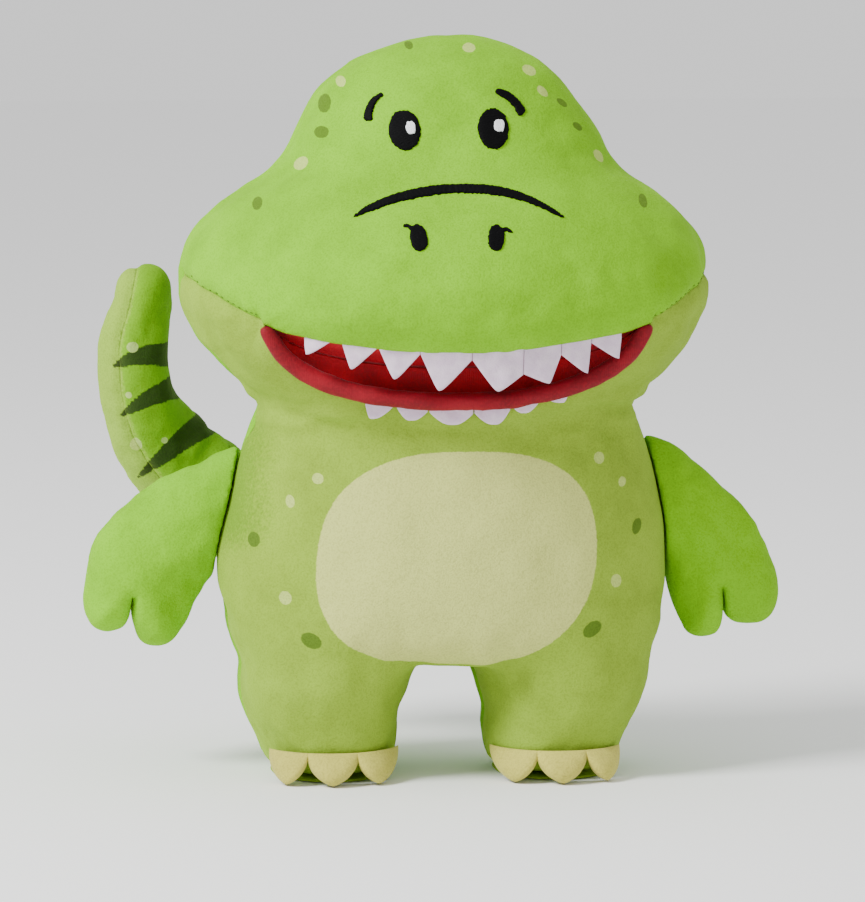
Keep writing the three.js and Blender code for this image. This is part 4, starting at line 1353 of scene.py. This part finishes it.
# --- tail
TAIL_LOW, TAIL_HIGH = (-150, 28, 54), (24, 112, 222)
points, quads = surface(tail_field, TAIL_LOW, TAIL_HIGH, 1.4)
tail = to_bmesh(points, quads)
relax(tail, 4)


def tail_seam(p):
    """Positive on the striped upper fabric, which wraps most of the way round."""
    share, side, _ = tail_place(p)
    return side + 0.5 * np.interp(share, np.linspace(0, 1, len(TAIL)), TAIL[:, 3])


cut(tail, tail_seam)
rest = coordinates(tail)
share, side, across = tail_place(rest)
off = np.abs(tail_seam(rest))
inward = 1.4 * bell(off / 1.9) + 0.6 * bell(off / 6)
inward += 0.4 * puckers(share * 230, off, 5.5, 6, 81)
inward += 0.7 * noise(rest, 22, 82) + 0.3 * noise(rest, 9, 83)
# Folds on the inside of the bend.
inward += 1.1 * bell((share - 0.45) / 0.16) * ease(side / 12) * folds(share * 26, across / 30, side / 30, 84)
root = ease((share - 0.02) / 0.06)
tail_swell = swell(tail_field, TAIL_LOW, TAIL_HIGH,
                   lambda p: (np.abs(tail_seam(p)) < 3) | (p[:, 0] > -14), step=5.0)
out = normals(tail)
move(tail, out * (0.6 * np.clip(tail_swell(rest), -3, 3) * root - inward * root)[:, None])

# Each stripe starts broad on the side of the tail that faces the body, and tapers to a point round it.
# (where its broad end lies on the front view, where its point lies, half thickness)
STRIPES = [
    ((-110, 166.5), (-134.6, 161.6), 5.4),
    ((-102, 153.6), (-131, 140.8), 5.6),
    ((-88, 139.5), (-123.0, 114.6), 6.0),
]
stripe = np.zeros(len(rest))
for (bx, bz), (px, pz), half in STRIPES:
    length = math.hypot(px - bx, pz - bz)
    dx, dz = (px - bx) / length, (pz - bz) / length
    run = ((rest[:, 0] - bx) * dx + (rest[:, 2] - bz) * dz) / length
    sag = -2.6 * np.sin(math.pi * np.clip(run, 0, 1))
    off_line = -(rest[:, 0] - bx) * dz + (rest[:, 2] - bz) * dx - sag
    width = half * np.clip(1 - run, 0, 1.3) ** 0.6
    on = np.clip(0.5 + (width - np.abs(off_line)) / 1.2, 0, 1) * (run < 1)
    stripe = np.maximum(stripe, on)
# Painted light: the tail is painted paler on its outer side, away from the body, where the light falls on it.
pale = ease((-0.05 - side / np.interp(share, np.linspace(0, 1, len(TAIL)), TAIL[:, 3])) / 0.75)
kinds = split_pieces(tail, rest, lambda p: np.where(tail_seam(p) > 0, "top", "underside"),
                     {"stripe": stripe, "pale": pale})
bend = next(np.array(j["pos_m"]) for j in frame["joints"] if j["name"] == "tail_curl")
line = TAIL_LINE[:, :3]
at_bend = np.linalg.norm((line + np.array([0, TOY_Y, 0])) * MM - bend, axis=1).argmin()
ahead = line[at_bend + 1] - line[at_bend - 1]
ahead /= np.linalg.norm(ahead)
TAIL_BEND = ("tail_base", "tail_tip",
             tuple((bend - ahead * 0.022).tolist()), tuple((bend + ahead * 0.022).tolist()))
for kind, (pts, fcs, origin, extra) in kinds.items():
    material, slot = (tail_plush, "bright_plush") if kind == "top" else (tail_pale_plush, "pale_plush")
    made = piece(f"tail_{kind}_fabric", pts, fcs, material, origin, extra)
    thicken(made)
    register(made, TAIL_BEND, slot, f"tail_base_{kind}", f"tail_tip_{kind}", fill=0.85)


# --- stuffing
def filling(name, field, low, high, step, node, place):
    """A soft body of fibre inside the fabric."""
    points, quads = surface(field, low, high, step)
    points = points + 0.4 * noise(points, 6, 90)[:, None]
    register(piece(name, points, quads, stuffing), place, "stuffing", node, fill=0.9)


POCKET_MARGIN = 7.0


def around_mouth(x, y, z):
    """Positive outside the mouth's pocket and a margin about it, negative inside."""
    gap = np.maximum(z - upper_lip(x), lower_lip(x) - z)
    share = np.clip(1 - (x / MOUTH["half"]) ** 2, 0, 1)
    fold = front_y(x, np.full_like(x, 184.0)) + 12 + 20 * share
    return np.maximum(gap, y - fold) - POCKET_MARGIN


SPLIT = 168  # the height where the head's stuffing ends and the body's begins
for name, up, node in (("torso_filling", -1, "body_stuffing"), ("head_filling", 1, "head_stuffing")):
    def half_field(x, y, z, up=up):
        inner = np.maximum(body_field(x, y, z) + 7.5, -around_mouth(x, y, z))
        return np.maximum(inner, up * (SPLIT - z) + 0.4)

    filling(name, half_field, BODY_LOW, BODY_HIGH, 4.5, node, NECK)
for sign, name in ((-1, "right"), (1, "left")):
    fill_field = arm_beside_body(name, sign, 7.2, 5.5)
    left_x, right_x = sorted((sign * 148, sign * 88))
    filling(f"{name}_arm_filling", lambda x, y, z: fill_field(sign * x, y, z),
            (left_x, *ARM_LOW[1:]), (right_x, *ARM_HIGH[1:]), 3.0, f"{name}_arm_stuffing",
            shoulder(sign, name))
bend_mm = np.array(bend) / MM - np.array([0, TOY_Y, 0])
for name, onward in (("tail_base", -1), ("tail_tip", 1)):
    def half_tail(x, y, z, onward=onward):
        past = (x - bend_mm[0]) * ahead[0] + (y - bend_mm[1]) * ahead[1] + (z - bend_mm[2]) * ahead[2]
        return np.maximum(np.maximum(tail_field(x, y, z) + 6.5, x + 12), 0.4 - onward * past)

    filling(f"{name}_filling", half_tail, TAIL_LOW, TAIL_HIGH, 3.5, f"{name}_stuffing", TAIL_BEND)

# --- sewn-in label
LABEL_X, LABEL_Z = 38, 66
LABEL_HALF, LABEL_LENGTH, LABEL_THICK = 8, 13, 0.7
rows, columns = 9, 19
grids = np.empty((2, rows, columns, 3))
anchor, _ = touch(back_tree, LABEL_X, LABEL_Z, -1)
for r, v in enumerate(np.linspace(0, 1, rows)):
    for c, u in enumerate(np.linspace(-1, 1, columns)):
        x = LABEL_X + LABEL_HALF * u
        y = anchor[1] - 1.5 + LABEL_LENGTH * v
        z = LABEL_Z - 1.6 * v * v + 0.5 * math.sin(u * 2.2 + 1) * v
        grids[0][r, c] = (x, y, z + LABEL_THICK / 2)
        grids[1][r, c] = (x, y, z - LABEL_THICK / 2)
pts, fcs = slab(grids[0], grids[1])
register(piece("sewn_label_ribbon", pts, fcs, ribbon), "torso", "label_tape", "sewn_label")

# --- floor, light and camera
mesh = bpy.data.meshes.new("floor")
mesh.from_pydata([(-6, -6, 0), (6, -6, 0), (6, 6, 0), (-6, 6, 0)], [], [(0, 1, 2, 3)])
ground = add_object("floor", mesh)
g = Graph("pale_floor", 0.9, specular=0.1)
mesh.materials.append(g.finish(tuple(c / DYE for c in linear(250, 250, 250)[:3]) + (1,)))

world = bpy.data.worlds.new("studio")
bpy.context.scene.world = world
world.use_nodes = True
sky = world.node_tree.nodes["Background"]
sky.inputs["Color"].default_value = (1, 1, 1, 1)
sky.inputs["Strength"].default_value = 1.0

KEY_PLACE, KEY_AIM = Vector((-1.5, -0.9, 1.55)), Vector((0, 0, 0.15))
data = bpy.data.lights.new("key", "AREA")
data.size = 0.7
data.energy = 78
key = add_object("key", data)
key.location = KEY_PLACE
key.rotation_euler = (KEY_AIM - KEY_PLACE).to_track_quat("-Z", "Y").to_euler()

AZIMUTH, ELEVATION, DISTANCE = math.radians(-4.5), math.radians(6), 2.4
AIM = Vector((-0.0047, TOY_Y * MM, 0.1306))
VIEW_WIDTH = 0.3515  # of the picture, at the toy
data = bpy.data.cameras.new("camera")
data.sensor_fit = "HORIZONTAL"
data.sensor_width = 36
data.lens = data.sensor_width * DISTANCE / VIEW_WIDTH
data.clip_end = 30
camera = add_object("camera", data)
level = math.cos(ELEVATION)
away = Vector((math.sin(AZIMUTH) * level, -math.cos(AZIMUTH) * level, math.sin(ELEVATION)))
camera.location = AIM + away * DISTANCE
camera.rotation_euler = away.to_track_quat("Z", "Y").to_euler()
bpy.context.scene.camera = camera
